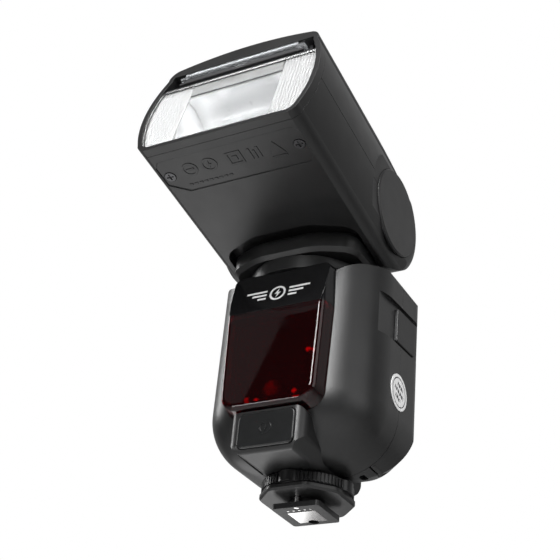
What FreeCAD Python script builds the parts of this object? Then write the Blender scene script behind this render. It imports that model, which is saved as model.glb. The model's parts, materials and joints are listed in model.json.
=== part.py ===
import FreeCAD, Part
import math
import os

# Speedlight flash for a hot shoe. Millimetres, +Z up, front towards -Y, +X on the viewer's
# right when looking at the front. The origin is the centre of the shoe foot's underside.

V = FreeCAD.Vector

# ---- driving dimensions -------------------------------------------------------------------
FAR = 60                # beyond the flash on every side, for cutting blocks
HIGH = 120              # above its top
WALL = 2.0              # casing wall
SEAM = 0.12             # half the gap left at a casing seam
RUN = 0.05              # radial clearance of a running fit
GAP = 0.3               # gap between pieces that move past each other

# hot shoe foot, standard 18.6 mm wide and 2 mm thick
FOOT_W = 18.6
FOOT_L = 18.0
FOOT_T = 2.0
STEM_R = 6.5            # stem between the foot and the casing
FLANGE_R = 9.0          # flange on top of the stem, inside the casing
FLANGE_TOP = 2.4        # above the spine's underside
NOTCH_AT = 6.4          # half-round notch at the rear edge of the foot's polished plate
NOTCH_R = 1.9
FOOT_PLATE_D = 0.9
PLATE_Z = (4.4, 6.3)    # lock plate under the wheel
PLATE_HALF = 16.0
WHEEL_Z = (6.5, 11.0)
WHEEL_R = 16.6
WHEEL_RIBS = 72
PIN_R = 1.0
PIN_XY = (0.0, -7.4)    # lock pin, in front of the contacts
PIN_LOW = 0.15
PIN_TOP = 5.75

# casing of the body
BODY_W = 34.4           # half width
BODY_FRONT = -31.0
BODY_REAR = 21.5
BODY_Z = (13.0, 89.3)
BODY_SHOULDER_Z = 84.3  # where the front face meets the sloping top
FRONT_R = 22.0          # upright front corners
REAR_R = 9.0            # upright rear corners
BOTTOM_R = 21.0         # rounding under the sides and the front
REAR_LOW_R = 20.0       # rounding under the rear face
DIAGONAL_R = 25.0       # rounding of the two lower rear corners
SPINE_W = 14.8          # raised spine under the body, half width
SPINE_FLAT = 10.6       # half width of the spine's flat underside
SPINE_Z = 11.2
SPINE_FRONT = -34.4
SPINE_REAR = 16.0
CHIN_TOP = 26.4
PORT_COVER_R = 0.5      # rounding around the front socket's cover, which stands this far out

# glossy front panel with the red window below it
PANEL_FRONT = -36.4
PANEL_BACK = -29.5
PANEL_W = 19.6          # half width at the front face
PANEL_FLARE = 1.5       # the side walls widen towards the casing
PANEL_Z = (27.2, 83.7)
WINDOW_TOP = 65.9
PANEL_EDGE_R = 2.4      # rounding around the bulge's front face
WINDOW_WALL = 1.6
TRAY_BACK = -22.0

# head
PIVOT = V(0, -9.5, 116.1)
TILT_REST = 9.5         # degrees above level at rest
HEAD_R = 22.3           # round rear end, about the tilt axis
HEAD_LOW = -21.6
HEAD_FRONT_LOW = 77.2   # distance from the tilt axis to the front edge, at the bottom
HEAD_FRONT_HIGH = 72.1  # and at the top
HEAD_TOP_FRONT = 30.6
HEAD_SPLIT = -0.8       # seam between the upper and lower shells
CHEEK_X = 34.4          # flat cheeks around the tilt axis
CHEEK_IN = 27.6
CHEEK_T = 1.8
CAP_R = 17.4
DRUM_R = 19.4
DRUM_W = 27.2
AXLE_R = 4.0
RECESS_FRONT = 24.3
RECESS_TOP = -16.9
BEZEL_D = 3.4           # depth of the front bezel
LENS_TOP = 15.2
SLOT = (16.6, 23.4)     # opening above the lens for the pull-out panels
PANEL_L = 46.0
PANEL_HALF = 26.5
PANEL_TIP = 72.6        # front edge of the wide panel and the bounce card when pushed in
HEAD_SCREW_X = 26.6
HEAD_SCREW_A = 62.2

# neck
COLLAR_Z = (89.9, 98.6)
COLLAR_W = 26.6
COLLAR_FRONT = -33.3
TABLE_R = 22.4
HUB_R = 8.0
HUB_LOW = 82.0
PLATFORM_LOW = 84.0
CORE_R = 5.0            # way for the wiring, up through the hub
CLIP_R = 9.6

# battery compartment and its door on the +X side
CELL_R = 7.2
CELL_L = 50.0
CELL_Y = 8.7
CELL_Z0 = 33.4
CELL_PITCH = 14.7
DOOR_Y = (0.15, 17.0)
DOOR_TOP = 86.8
DOOR_PIVOT = (24.3, 17.9)
KNUCKLE_R = 1.7
SCOOP_D = 1.1           # depth of the finger scoop
SCOOP_Z = (61.0, 77.6)
SCOOP_FRONT = -19.5
TAB_Y = (-4.2, 12.0)
TAB_Z = (62.6, 76.4)
TAB_EDGE_R = 0.35
CASING_CUT = 2.6        # depth of the door's upper edge in the casing
KNUCKLE_END = 8.6
PIN_DOOR_R = 0.8
CELL_X = (-20.0, 30.0)

# contacts under the foot
CONTACT_Y = -5.2
CONTACT_X = (-4.4, -2.2, 0.0, 2.2, 4.4)

# cover on the spine's slanted -X flank
FLANK_MID = V(-(SPINE_W + SPINE_FLAT) / 2, -20.25, SPINE_Z + (SPINE_W - SPINE_FLAT) / 2)
SIDE_COVER_L = 16.5
SIDE_COVER_W = 4.4

# rear controls: centres as (x, z), the display as (x0, x1, z0, z1)
REAR_KEYS = {"key_left": (-17.0, 56.5), "key_mid_left": (-5.7, 56.5),
             "key_mid_right": (5.7, 56.5), "key_right": (17.0, 56.5)}
ROUND_KEYS = {"mode_button": (-18.5, 45.0), "test_button": (18.5, 45.0)}
KEY_BACK = 18.6         # inner face of the keys
KEY_PROUD = 0.9         # how far the keys stand out of the rear face
FLANGE_T = 0.8
DIAL_Z = 41.5
DIAL_R = 11.0
SET_R = 5.2
LCD = (-21.5, 21.5, 61.5, 82.5)
SWITCH_AT = (18.0, 36.0)
SWITCH_TRAVEL = 4.0

# lamps behind the window
ASSIST_X = -1.5
ASSIST_Z = 36.6
LAMPS = ((-12.6, 34.6), (-8.6, 33.8), (6.6, 35.4))

# zoom mechanism, in the head's own frame: A forward of the tilt axis, B above it
TUBE_A = 60.5
TUBE_B = -3.25
REFLECTOR_FRONT = 69.0
REFLECTOR_HALF = 23.8
REFLECTOR_D = 14.5
REFLECTOR_B = (-18.0, 11.5)
REFLECTOR_T = 0.9
SCREW_X = 30.2
SCREW_B = -7.0
SCREW_R = 1.3

# round seal across the seam on the +X side, centre as (y, z)
STICKER_R = 6.9
STICKER_AT = (-0.6, 43.2)


# ---- helpers ------------------------------------------------------------------------------
def box(x0, x1, y0, y1, z0, z1):
    return Part.makeBox(x1 - x0, y1 - y0, z1 - z0, V(x0, y0, z0))


def rod(radius, start, end):
    """Cylinder between two points."""
    along = end - start
    return Part.makeCylinder(radius, along.Length, start, along)


def ring(outer, inner, start, end):
    return rod(outer, start, end).cut(rod(inner, start, end))


def fuse(first, *others):
    return first.fuse(list(others)).removeSplitter()


def rounded_face(corners, place):
    """Face with rounded corners. corners holds (p, q, radius); place maps p, q to 3-D."""
    count = len(corners)
    edges = []
    joints = []
    for i, (p, q, radius) in enumerate(corners):
        here = V(p, q, 0)
        to_last = (V(*corners[i - 1][:2], 0) - here).normalize()
        to_next = (V(*corners[(i + 1) % count][:2], 0) - here).normalize()
        if radius == 0:
            joints.append((here, None, here))
            continue
        half = to_last.getAngle(to_next) / 2
        reach = radius / math.tan(half)
        centre = here + (to_last + to_next).normalize() * (radius / math.sin(half))
        middle = centre + (here - centre).normalize() * radius
        joints.append((here + to_last * reach, middle, here + to_next * reach))
    for i, (start, middle, end) in enumerate(joints):
        if middle is not None:
            edges.append(Part.Arc(place(start), place(middle), place(end)).toShape())
        following = joints[(i + 1) % count][0]
        if (following - end).Length > 1e-6:
            edges.append(Part.LineSegment(place(end), place(following)).toShape())
    return Part.Face(Part.Wire(edges))


def in_xy(z):
    return lambda point: V(point.x, point.y, z)


def in_xz(y):
    return lambda point: V(point.x, y, point.y)


def in_yz(x):
    return lambda point: V(x, point.x, point.y)


def pad_xz(corners, y0, y1):
    """Solid with an outline in X and Z, from y0 to y1."""
    return rounded_face(corners, in_xz(y0)).extrude(V(0, y1 - y0, 0))


def pad_xy(corners, z0, z1):
    return rounded_face(corners, in_xy(z0)).extrude(V(0, 0, z1 - z0))


def pad_yz(corners, x0, x1):
    return rounded_face(corners, in_yz(x0)).extrude(V(x1 - x0, 0, 0))


def rect(p0, p1, q0, q1, radius):
    return [(p0, q0, radius), (p1, q0, radius), (p1, q1, radius), (p0, q1, radius)]


def edges_where(shape, test):
    return [edge for edge in shape.Edges if test(edge)]


def upright_at(x_sign, y_value):
    """Test for an upright straight edge on one side at a given y."""
    def test(edge):
        start, end = edge.Vertexes[0].Point, edge.Vertexes[-1].Point
        upright = abs(start.x - end.x) < 1e-6 and abs(start.y - end.y) < 1e-6
        return upright and start.x * x_sign > 0 and abs(start.y - y_value) < 1e-6
    return test


def export(name, shape):
    shape.exportStep("parts/" + name + ".step")


def group(solids):
    return Part.makeCompound(solids)


def largest(shape):
    return max(shape.Solids, key=lambda solid: solid.Volume)


# ---- body casing --------------------------------------------------------------------------
def body_form(t):
    """The body's outer form, moved inwards by t."""
    low, high = BODY_Z[0] + t, BODY_Z[1] - t
    half = BODY_W - t
    front, rear = BODY_FRONT + t, BODY_REAR - t
    far = 90
    form = box(-half, half, front, far, low, far)
    form = form.makeFillet(FRONT_R - t, edges_where(form, upright_at(1, front)))
    form = form.makeFillet(FRONT_R - t, edges_where(form, upright_at(-1, front)))
    foot = edges_where(form, lambda e: e.BoundBox.ZMax < low + 1e-6 and e.BoundBox.YMin < far - 1)
    form = form.makeFillet(BOTTOM_R - t, foot)
    back = pad_xy([(-half, -far, 0), (half, -far, 0), (half, rear, REAR_R - t),
                   (-half, rear, REAR_R - t)], low, high)
    side = pad_yz([(front - 1, low, 0), (front, low, 0), (front, BODY_SHOULDER_Z - t, 10 - t / 2),
                   (-7, high, 25), (rear, high, 5 - t), (rear, low, REAR_LOW_R - t)],
                  -half, half)
    top = pad_xz([(-half, low, 0), (half, low, 0), (half, high, 2.4 - t / 2),
                  (-half, high, 2.4 - t / 2)], front - 1, rear)
    form = form.common(back).common(side).common(top)
    # rounder lower rear corners: a rounded prism across each diagonal
    reach = (half - REAR_R + t + rear - REAR_R + t) / math.sqrt(2) + REAR_R - t
    diagonal = pad_yz([(-far, low, 0), (reach, low, DIAGONAL_R - t), (reach, far, 0), (-far, far, 0)],
                      -far, far)
    for turn in (-45, 45):
        prism = diagonal.copy()
        prism.rotate(V(0, 0, 0), V(0, 0, 1), turn)
        form = form.common(prism)
    return form


def spine_form(t):
    """Raised spine below the body, from the chin to the rear, moved inwards by t."""
    wide, flat = SPINE_W - t, SPINE_FLAT - t * 0.4
    section = [(-wide, CHIN_TOP - t, 3), (-wide, SPINE_Z + SPINE_W - SPINE_FLAT + t * 0.2, 2.5),
               (-flat, SPINE_Z + t, 2.5), (flat, SPINE_Z + t, 2.5),
               (wide, SPINE_Z + SPINE_W - SPINE_FLAT + t * 0.2, 2.5), (wide, CHIN_TOP - t, 3)]
    block = pad_xz(section, SPINE_FRONT + t, SPINE_REAR - t)
    plan = pad_xy([(-wide, SPINE_REAR - t, 4), (-wide, SPINE_FRONT + t, 4),
                   (wide, SPINE_FRONT + t, 4), (wide, SPINE_REAR - t, 4)], 0, 60)
    side = pad_yz([(SPINE_FRONT + t, 60, 0), (SPINE_FRONT + t, SPINE_Z + t, 3.2),
                   (SPINE_REAR - t, SPINE_Z + t, 3.2), (SPINE_REAR - t, 60, 0)], -30, 30)
    return block.common(plan).common(side)


def platform():
    """Round platform for the turntable on top of the casing."""
    centre = V(PIVOT.x, PIVOT.y, 0)
    return rod(TABLE_R + 1.5, centre + V(0, 0, PLATFORM_LOW), centre + V(0, 0, BODY_Z[1]))


def panel_form(t):
    """Front bulge that the panel and the window share, moved inwards by t."""
    def outline(grow):
        half = PANEL_W + grow - t
        low = PANEL_Z[0] - grow * 0.6 + t
        return [(-half + 1.2, low, 7), (half - 1.2, low, 7), (half, WINDOW_TOP, 30),
                (half - 0.5, PANEL_Z[1] - t, 3), (-half + 0.5, PANEL_Z[1] - t, 3),
                (-half, WINDOW_TOP, 30)]
    front = rounded_face(outline(0), in_xz(PANEL_FRONT + t)).OuterWire
    back = rounded_face(outline(PANEL_FLARE), in_xz(PANEL_BACK)).OuterWire
    bulge = Part.makeLoft([front, back], True, True)
    if t == 0:
        rim = edges_where(bulge, lambda e: e.BoundBox.YMax < PANEL_FRONT + 1e-4)
        bulge = bulge.makeFillet(PANEL_EDGE_R, rim)
    side = pad_yz([(PANEL_FRONT + t, 0, 0), (PANEL_FRONT + t, 66 - t, 40),
                   (-31.5 + t, PANEL_Z[1] + 4 - t, 0), (0, PANEL_Z[1] + 4, 0), (0, 0, 0)], -60, 60)
    return bulge.common(side)


def casing():
    """The whole casing before it is split at the seam."""
    shell = fuse(body_form(0), platform(), spine_form(0))
    hollow = body_form(WALL)
    shell = shell.cut(hollow)
    shell = shell.cut(box(-SPINE_W + 3, SPINE_W - 3, -28, SPINE_REAR - 3, 13.8, 26))
    centre = V(PIVOT.x, PIVOT.y, 0)
    shell = shell.cut(rod(TABLE_R - 3, centre + V(0, 0, 70), centre + V(0, 0, BODY_Z[1] - 2.4)))
    shell = shell.cut(rod(HUB_R + RUN, centre + V(0, 0, 70), centre + V(0, 0, 100)))
    # opening behind the window and a shallow seat for the panel
    seat = pad_xz([(-19.2, 29.2, 6), (19.2, 29.2, 6), (19.2, 80, 3), (-19.2, 80, 3)], -40, -26)
    shell = shell.cut(seat)
    well = pad_xz(rect(-17.5, 17.5, 30.5, 64.5, 4), -40, -20)
    shell = shell.cut(well)
    return shell


def scoop():
    """Finger scoop across the seam on the +X side, around the door's tab."""
    low, high = SCOOP_Z
    start = SCOOP_FRONT + 0.5
    profile = [(start, low - 0.4, 0), (DOOR_Y[1], low + 2.2, 0), (DOOR_Y[1], high + 2.2, 0),
               (start, high - 0.4, 0)]
    slab = rounded_face(profile, in_yz(BODY_W + 3)).extrude(V(-6, 0, 0))
    floor = BODY_W - SCOOP_D
    ramp = pad_xy([(BODY_W + 3, SCOOP_FRONT, 0), (BODY_W + 3, DOOR_Y[1], 0), (floor, DOOR_Y[1], 0),
                   (floor, -4.0, 30), (floor - 0.6, SCOOP_FRONT, 0)], low - 3, high + 5)
    return slab.common(ramp)


def door_zone(t):
    """Space that the battery door takes out of the casing, grown by t."""
    inner = BODY_W - CASING_CUT - t
    outline = [(DOOR_PIVOT[0], 5, 0), (FAR, 5, 0), (FAR, DOOR_TOP + t, 0), (inner, DOOR_TOP + t, 0),
               (inner, 40, 30), (DOOR_PIVOT[0], DOOR_PIVOT[1] + 1.5, 0)]
    return pad_xz(outline, DOOR_Y[0] - t, DOOR_Y[1] + t)


def knuckle(radius, y0, y1):
    x, z = DOOR_PIVOT
    return rod(radius, V(x, y0, z), V(x, y1, z))


def port_cover_solid(t):
    """Front power socket cover, moved outwards by t."""
    face = rect(-10.6 - t, 11.6 + t, 12.6 - t, 25.4 + t, 2.2)
    return pad_xz(face, SPINE_FRONT - PORT_COVER_R - t, SPINE_FRONT + 1.8 + t)


def build_port_cover():
    """Rubber cover; it hinges about the rounding of its lower front edge."""
    cover = port_cover_solid(0)
    rim = edges_where(cover, lambda e: e.BoundBox.YMax < SPINE_FRONT - PORT_COVER_R + 1e-6)
    return cover.makeFillet(PORT_COVER_R, rim)


def side_cover_solid(t):
    """Oblong cover on the -X flank of the spine, in its own frame: Z out of the flank."""
    half, wide = SIDE_COVER_L / 2 + t, SIDE_COVER_W / 2 + t
    return pad_xy(rect(-wide, wide, -half, half, wide - 0.05), -1.6 - t, 0.5)


def side_cover(t):
    """The cover in place, where the flank stands clear of the casing's underside."""
    return on_flank(side_cover_solid(t)).cut(body_form(-0.25 + t))


def on_flank(shape):
    placed = shape.copy()
    placed.Placement = FreeCAD.Placement(FLANK_MID, FreeCAD.Rotation(V(0, 1, 0), 180 + 45))
    return placed


def rear_openings():
    """Openings in the rear face for the display, the keys, the dial and the switch."""
    holes = [pad_xz(rect(LCD[0] + 1.5, LCD[1] - 1.5, LCD[2] + 1.5, LCD[3] - 1.5, 1.5), 15, 30),
             pad_xz(rect(LCD[0] - 0.15, LCD[1] + 0.15, LCD[2] - 0.15, LCD[3] + 0.15, 2.5),
                    BODY_REAR - 1.2, 30)]
    for x, z in REAR_KEYS.values():
        holes.append(pad_xz(rect(x - 4.5 - GAP, x + 4.5 + GAP, z - 2 - GAP, z + 2 + GAP, 1.6), 15, 30))
    for x, z in ROUND_KEYS.values():
        holes.append(rod(3.4 + GAP, V(x, 15, z), V(x, 30, z)))
    holes.append(rod(DIAL_R + GAP, V(0, 15, DIAL_Z), V(0, 30, DIAL_Z)))
    x, z = SWITCH_AT
    holes.append(pad_xz(rect(x - 4.7, x + 4.7, z - 1.4, z + 1.4, 1.2), 15, 30))
    return holes


def build_casing():
    shell = casing()
    shell = shell.cut(scoop())
    shell = shell.cut(door_zone(SEAM))
    shell = shell.cut(knuckle(KNUCKLE_R + 0.5, DOOR_Y[0] - SEAM, DOOR_Y[1] + SEAM))
    shell = shell.cut(port_cover_solid(0.2))
    shell = shell.cut(pad_xz(rect(-8.0, 9.0, 14.6, 23.4, 1.5), SPINE_FRONT - 2, -26))
    shell = shell.cut(side_cover(0.2))
    bay = pad_xy(rect(-SIDE_COVER_W / 2 + 0.6, SIDE_COVER_W / 2 - 0.6, -7.6, 7.6, 1.2), -7, -1)
    shell = shell.cut(on_flank(bay))
    lug = box(DOOR_PIVOT[0] - 2, DOOR_PIVOT[0] + 2, -4.5, -SEAM, 16, DOOR_PIVOT[1] + 2.0)
    shell = fuse(shell, lug.common(body_form(WALL / 2)))
    for hole in rear_openings():
        shell = shell.cut(hole)
    # strap slot beside the door
    shell = shell.cut(pad_xy(rect(18.6, 20.8, 2.4, 7.4, 1.05), 5, 20))
    halves = []
    for y0, y1 in ((-FAR, -SEAM), (SEAM, FAR)):
        half = shell.common(box(-FAR, FAR, y0, y1, 0, HIGH))
        halves.append(largest(half))
    front, rear = halves
    return front, rear


def build_door():
    """Battery door with its knuckle along the lower edge."""
    skin = body_form(0).cut(body_form(WALL)).cut(scoop())
    door = skin.common(door_zone(0))
    barrel = knuckle(KNUCKLE_R, DOOR_Y[0] + 1.2, KNUCKLE_END)
    door = fuse(door, barrel)
    door = door.cut(knuckle(PIN_DOOR_R + RUN, -5, 30))
    return largest(door)


def build_door_tab():
    """Sliding thumb tab in the scoop, held by the door."""
    y0, y1 = TAB_Y
    low, high = TAB_Z
    x0, x1 = BODY_W - SCOOP_D + 0.12, BODY_W + 0.3
    tab = pad_yz([(y0, low - 0.2, 0.8), (y1, low + 1.0, 0.8), (y1, high + 1.0, 0.8),
                  (y0, high - 0.2, 0.8)], x0, x1)
    rim = edges_where(tab, lambda e: e.BoundBox.XMin > x1 - 1e-6)
    return tab.makeFillet(TAB_EDGE_R, rim)


# ---- foot, wheel and lock -----------------------------------------------------------------
def build_foot():
    half_w, half_l = FOOT_W / 2, FOOT_L / 2
    plate = pad_xy(rect(-half_w, half_w, -half_l, half_l, 1.2), 0, FOOT_T)
    stem = rod(STEM_R, V(0, 0, FOOT_T - 0.5), V(0, 0, SPINE_Z + 0.01))
    flange = rod(FLANGE_R, V(0, 0, SPINE_Z - 0.15), V(0, 0, SPINE_Z + FLANGE_TOP))
    foot = fuse(plate, stem, flange)
    foot = foot.cut(pad_xy(rect(-5.6, 5.6, -3.9, NOTCH_AT, 0.4), -1, FOOT_PLATE_D))
    foot = foot.cut(rod(NOTCH_R, V(0, NOTCH_AT, -1), V(0, NOTCH_AT, FOOT_T + 0.5)))
    for x in CONTACT_X:
        foot = foot.cut(rod(0.62, V(x, CONTACT_Y, -1), V(x, CONTACT_Y, 1.6)))
    foot = foot.cut(rod(PIN_R + RUN, V(PIN_XY[0], PIN_XY[1], -1), V(PIN_XY[0], PIN_XY[1], PIN_TOP + 0.65)))
    return foot


def build_foot_plate():
    """Polished plate let into the foot, with a half-round notch at its rear edge."""
    plate = pad_xy(rect(-5.5, 5.5, -3.8, NOTCH_AT - 0.1, 0.3), 0, FOOT_PLATE_D)
    plate = plate.cut(rod(NOTCH_R + 0.1, V(0, NOTCH_AT, -1), V(0, NOTCH_AT, FOOT_T + 1)))
    return plate


def build_contacts():
    pins = []
    for x in CONTACT_X:
        pin = rod(0.6, V(x, CONTACT_Y, 0.12), V(x, CONTACT_Y, 1.6))
        pins.append(pin)
    return pins


def build_wheel():
    """Lock wheel: a ribbed rim with four smooth finger lobes."""
    z0, z1 = WHEEL_Z
    wheel = rod(WHEEL_R - 0.35, V(0, 0, z0), V(0, 0, z1))
    wheel = wheel.makeChamfer(0.6, edges_where(wheel, lambda e: len(e.Vertexes) == 1))
    ribs = []
    for i in range(WHEEL_RIBS):
        angle = 360.0 * i / WHEEL_RIBS
        if abs((angle + 45) % 90 - 45) > 13:
            rib = box(WHEEL_R - 1.4, WHEEL_R + 0.15, -0.42, 0.42, z0 + 0.6, z1 - 0.6)
            rib.rotate(V(0, 0, 0), V(0, 0, 1), angle)
            ribs.append(rib)
    for quarter in range(4):
        lobe = rod(4.6, V(WHEEL_R - 3.6, 0, z0 + 0.3), V(WHEEL_R - 3.6, 0, z1 - 0.3))
        lobe.rotate(V(0, 0, 0), V(0, 0, 1), 90 * quarter)
        ribs.append(lobe)
    wheel = fuse(wheel, *ribs)
    return wheel.cut(rod(STEM_R + RUN, V(0, 0, 0), V(0, 0, 20)))


def build_lock_plate():
    """Rounded octagon that the wheel drives down onto the camera's shoe."""
    half, cut = PLATE_HALF, 8.6
    outline = [(-half + cut, -half, 5), (half - cut, -half, 5), (half, -half + cut, 5),
               (half, half - cut, 5), (half - cut, half, 5), (-half + cut, half, 5),
               (-half, half - cut, 5), (-half, -half + cut, 5)]
    plate = pad_xy(outline, PLATE_Z[0], PLATE_Z[1])
    rim = edges_where(plate, lambda e: e.BoundBox.ZMax < PLATE_Z[0] + 1e-6)
    plate = plate.makeChamfer(0.7, rim)
    plate = plate.cut(rod(STEM_R + RUN, V(0, 0, 0), V(0, 0, 20)))
    return plate.cut(rod(PIN_R + 0.35, V(PIN_XY[0], PIN_XY[1], 0), V(PIN_XY[0], PIN_XY[1], 20)))


# ---- head, made level at the tilt axis and then tilted --------------------------------------
def placed_head(shape):
    result = shape.copy()
    result.Placement = FreeCAD.Placement(PIVOT, FreeCAD.Rotation(V(1, 0, 0), -TILT_REST))
    return result


def head_section(t):
    """Cross-section of the head, moved inwards by t: flat below, bowed sides, arched top."""
    low = HEAD_LOW + t
    side_low, side_high = V(33.0 - t, 0, -17.4), V(32.1 - t, 0, 21.6)
    side_mid = V(36.3 - t, 0, -1.5)
    top_side, top_mid = V(28.9 - t * 0.6, 0, 27.2 - t), V(0, 0, HEAD_TOP_FRONT - t)
    corner_low = V(31.6 - t * 0.85, 0, -20.2 + t * 0.6)
    corner_high = V(31.1 - t * 0.85, 0, 25.5 - t * 0.8)
    base = V(29.5 - t * 0.3, 0, low)

    def mirror(point):
        return V(-point.x, point.y, point.z)

    right = [Part.Arc(base, corner_low, side_low), Part.Arc(side_low, side_mid, side_high),
             Part.Arc(side_high, corner_high, top_side)]
    left = [Part.Arc(mirror(top_side), mirror(corner_high), mirror(side_high)),
            Part.Arc(mirror(side_high), mirror(side_mid), mirror(side_low)),
            Part.Arc(mirror(side_low), mirror(corner_low), mirror(base))]
    curves = right + [Part.Arc(top_side, top_mid, mirror(top_side))] + left
    curves.append(Part.LineSegment(mirror(base), base))
    return Part.Face(Part.Wire([curve.toShape() for curve in curves]))


def head_side(t):
    """Side view of the head, moved inwards by t: round rear end, slanted front."""
    radius = HEAD_R - t
    low, high = HEAD_LOW + t, HEAD_TOP_FRONT - t
    slope = math.atan2(HEAD_TOP_FRONT - HEAD_R, HEAD_FRONT_HIGH)
    top_start = V(0, math.sin(slope) * radius, math.cos(slope) * radius)
    bottom_end = V(0, math.sqrt(radius ** 2 - low ** 2), low)
    front_high = V(0, -HEAD_FRONT_HIGH, high)
    front_low = V(0, -HEAD_FRONT_LOW, low)
    arc = Part.Arc(top_start, V(0, radius, 0), bottom_end)
    lines = [(bottom_end, front_low), (front_low, front_high), (front_high, top_start)]
    edges = [arc.toShape()] + [Part.LineSegment(a, b).toShape() for a, b in lines]
    face = Part.Face(Part.Wire(edges))
    face.translate(V(-FAR, 0, 0))
    return face.extrude(V(2 * FAR, 0, 0))


def head_form(t):
    section = head_section(t)
    section.translate(V(0, -90, 0))
    form = section.extrude(V(0, 130, 0)).common(head_side(t))
    flats = [Part.makeCone(HEAD_R + 0.8, HEAD_R + 5, 4, V(s * (CHEEK_X - t), 0, 0), V(s, 0, 0))
             for s in (-1, 1)]
    for flat in flats:
        form = form.cut(flat)
    # the rear end is rounded off at both cheeks
    end = rod(HEAD_R + 1, V(-CHEEK_X + t, 0, 0), V(CHEEK_X - t, 0, 0))
    end = end.common(box(-FAR, FAR, 0, 60, -60, 60))
    rims = edges_where(end, lambda e: e.BoundBox.XLength < 1e-6 and e.BoundBox.YMax > HEAD_R)
    end = end.makeFillet(4.5 - t / 2, rims)
    return form.common(end.fuse(box(-FAR, FAR, -120, 0.001, -60, 60)))


def front_slice(near, far):
    """Slab parallel to the head's slanted front, between two depths behind it."""
    run = HEAD_FRONT_LOW - HEAD_FRONT_HIGH
    rise = HEAD_TOP_FRONT - HEAD_LOW
    tilt = math.atan2(run, rise)
    up = V(0, math.sin(tilt), math.cos(tilt))
    back = V(0, math.cos(tilt), -math.sin(tilt))
    origin = V(-FAR, -HEAD_FRONT_LOW, HEAD_LOW) - up * 30
    corners = [origin + back * near, origin + back * far,
               origin + back * far + up * HIGH, origin + back * near + up * HIGH]
    wire = Part.makePolygon(corners + [corners[0]])
    return Part.Face(wire).extrude(V(2 * FAR, 0, 0))


def front_opening(t):
    """Opening of the bezel for the lens and the panels, moved inwards by t."""
    section = head_section(1.9 + t)
    section.translate(V(0, -90, 0))
    form = section.extrude(V(0, 130, 0))
    return form.common(box(-FAR, FAR, -90, 60, -60, SLOT[1] - t))


def neck_way():
    """Space in the head for the neck: slot through the rear and recess for the collar."""
    rear_slot = box(-CHEEK_IN, CHEEK_IN, 0, 40, -40, 9.0)
    under_slot = box(-CHEEK_IN, CHEEK_IN, -10.8, 1, -40, -1)
    front = -RECESS_FRONT
    plan = [(-CHEEK_IN, 0, 0), (-CHEEK_IN, front + 6.2, 7), (-12, front, 20),
            (12, front, 20), (CHEEK_IN, front + 6.2, 7), (CHEEK_IN, 0, 0)]
    recess = pad_xy(plan, -40, RECESS_TOP)
    drum = rod(DRUM_R + 0.5, V(-CHEEK_IN, 0, 0), V(CHEEK_IN, 0, 0))
    return fuse(rear_slot, under_slot, recess, drum)


def head_shell():
    """Both head shells in one, before the split: outer wall, cheeks and collar recess."""
    inner = head_form(WALL)
    shell = head_form(0).cut(inner)
    cheeks = [box(x, x + CHEEK_T, -RECESS_FRONT - 1.6, 40, -40, 40).common(head_form(WALL / 2))
              for x in (-CHEEK_IN - CHEEK_T, CHEEK_IN)]
    cheeks = [cheek.cut(box(-FAR, FAR, -60, -DRUM_R - 2.5, RECESS_TOP + 1.6, 60)) for cheek in cheeks]
    tub = box(-CHEEK_IN - 0.5, CHEEK_IN + 0.5, -RECESS_FRONT - 1.6, -9.5, -40, RECESS_TOP + 1.6)
    tub = tub.common(head_form(WALL / 2))
    rear_wall = head_form(WALL / 2).common(box(-CHEEK_IN - 0.5, CHEEK_IN + 0.5, 0, 40, 7.5, 40))
    rear_wall = rear_wall.cut(rod(DRUM_R + 0.5, V(-FAR, 0, 0), V(FAR, 0, 0)))
    rear_wall = rear_wall.cut(box(-FAR, FAR, -1, 12, 0, 40))
    shell = fuse(shell, *cheeks, tub, rear_wall)
    shell = shell.cut(neck_way())
    for s in (-1, 1):
        shell = shell.cut(rod(AXLE_R + RUN, V(s * 20, 0, 0), V(s * 33.1, 0, 0)))
        shell = shell.cut(rod(CAP_R + 0.15, V(s * (CHEEK_X - 0.7), 0, 0), V(s * 45, 0, 0)))
    shell = shell.cut(front_slice(-20, BEZEL_D + SEAM))
    # shallow field on the underside, where makers put approval marks, and two screw holes
    field = [(-27.4, -70.3, 0), (27.6, -70.5, 0), (29.6, -67.5, 0), (29.2, -56.5, 0), (27.2, -53.6, 0),
             (-22.6, -53.6, 0), (-29.4, -58.5, 0), (-29.6, -67.5, 0)]
    shell = shell.cut(pad_xy(field, -30, HEAD_LOW + 0.35))
    y = -HEAD_SCREW_A
    for x in (-HEAD_SCREW_X, HEAD_SCREW_X):
        shell = shell.cut(rod(2.3, V(x, y, -30), V(x, y, HEAD_LOW + 0.9)))
        shell = shell.cut(rod(1.2, V(x, y, -30), V(x, y, HEAD_LOW + 8)))
    return shell


def build_head_shells():
    shell = head_shell()
    upper = shell.common(box(-FAR, FAR, -100, 60, HEAD_SPLIT + SEAM, 60))
    lower = shell.common(box(-FAR, FAR, -100, 60, -60, HEAD_SPLIT - SEAM))
    return largest(upper), largest(lower)


def build_bezel():
    bezel = head_form(0).common(front_slice(0, BEZEL_D))
    bezel = bezel.cut(front_opening(0))
    bar = front_opening(-0.4).common(front_slice(1.0, BEZEL_D))
    bar = bar.common(box(-FAR, FAR, -90, 60, LENS_TOP, SLOT[0]))
    return fuse(bezel, bar)


def build_lens():
    lens = front_opening(0.12).common(front_slice(0.6, 2.6))
    return lens.common(box(-FAR, FAR, -90, 60, -60, LENS_TOP - 0.1))


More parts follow.
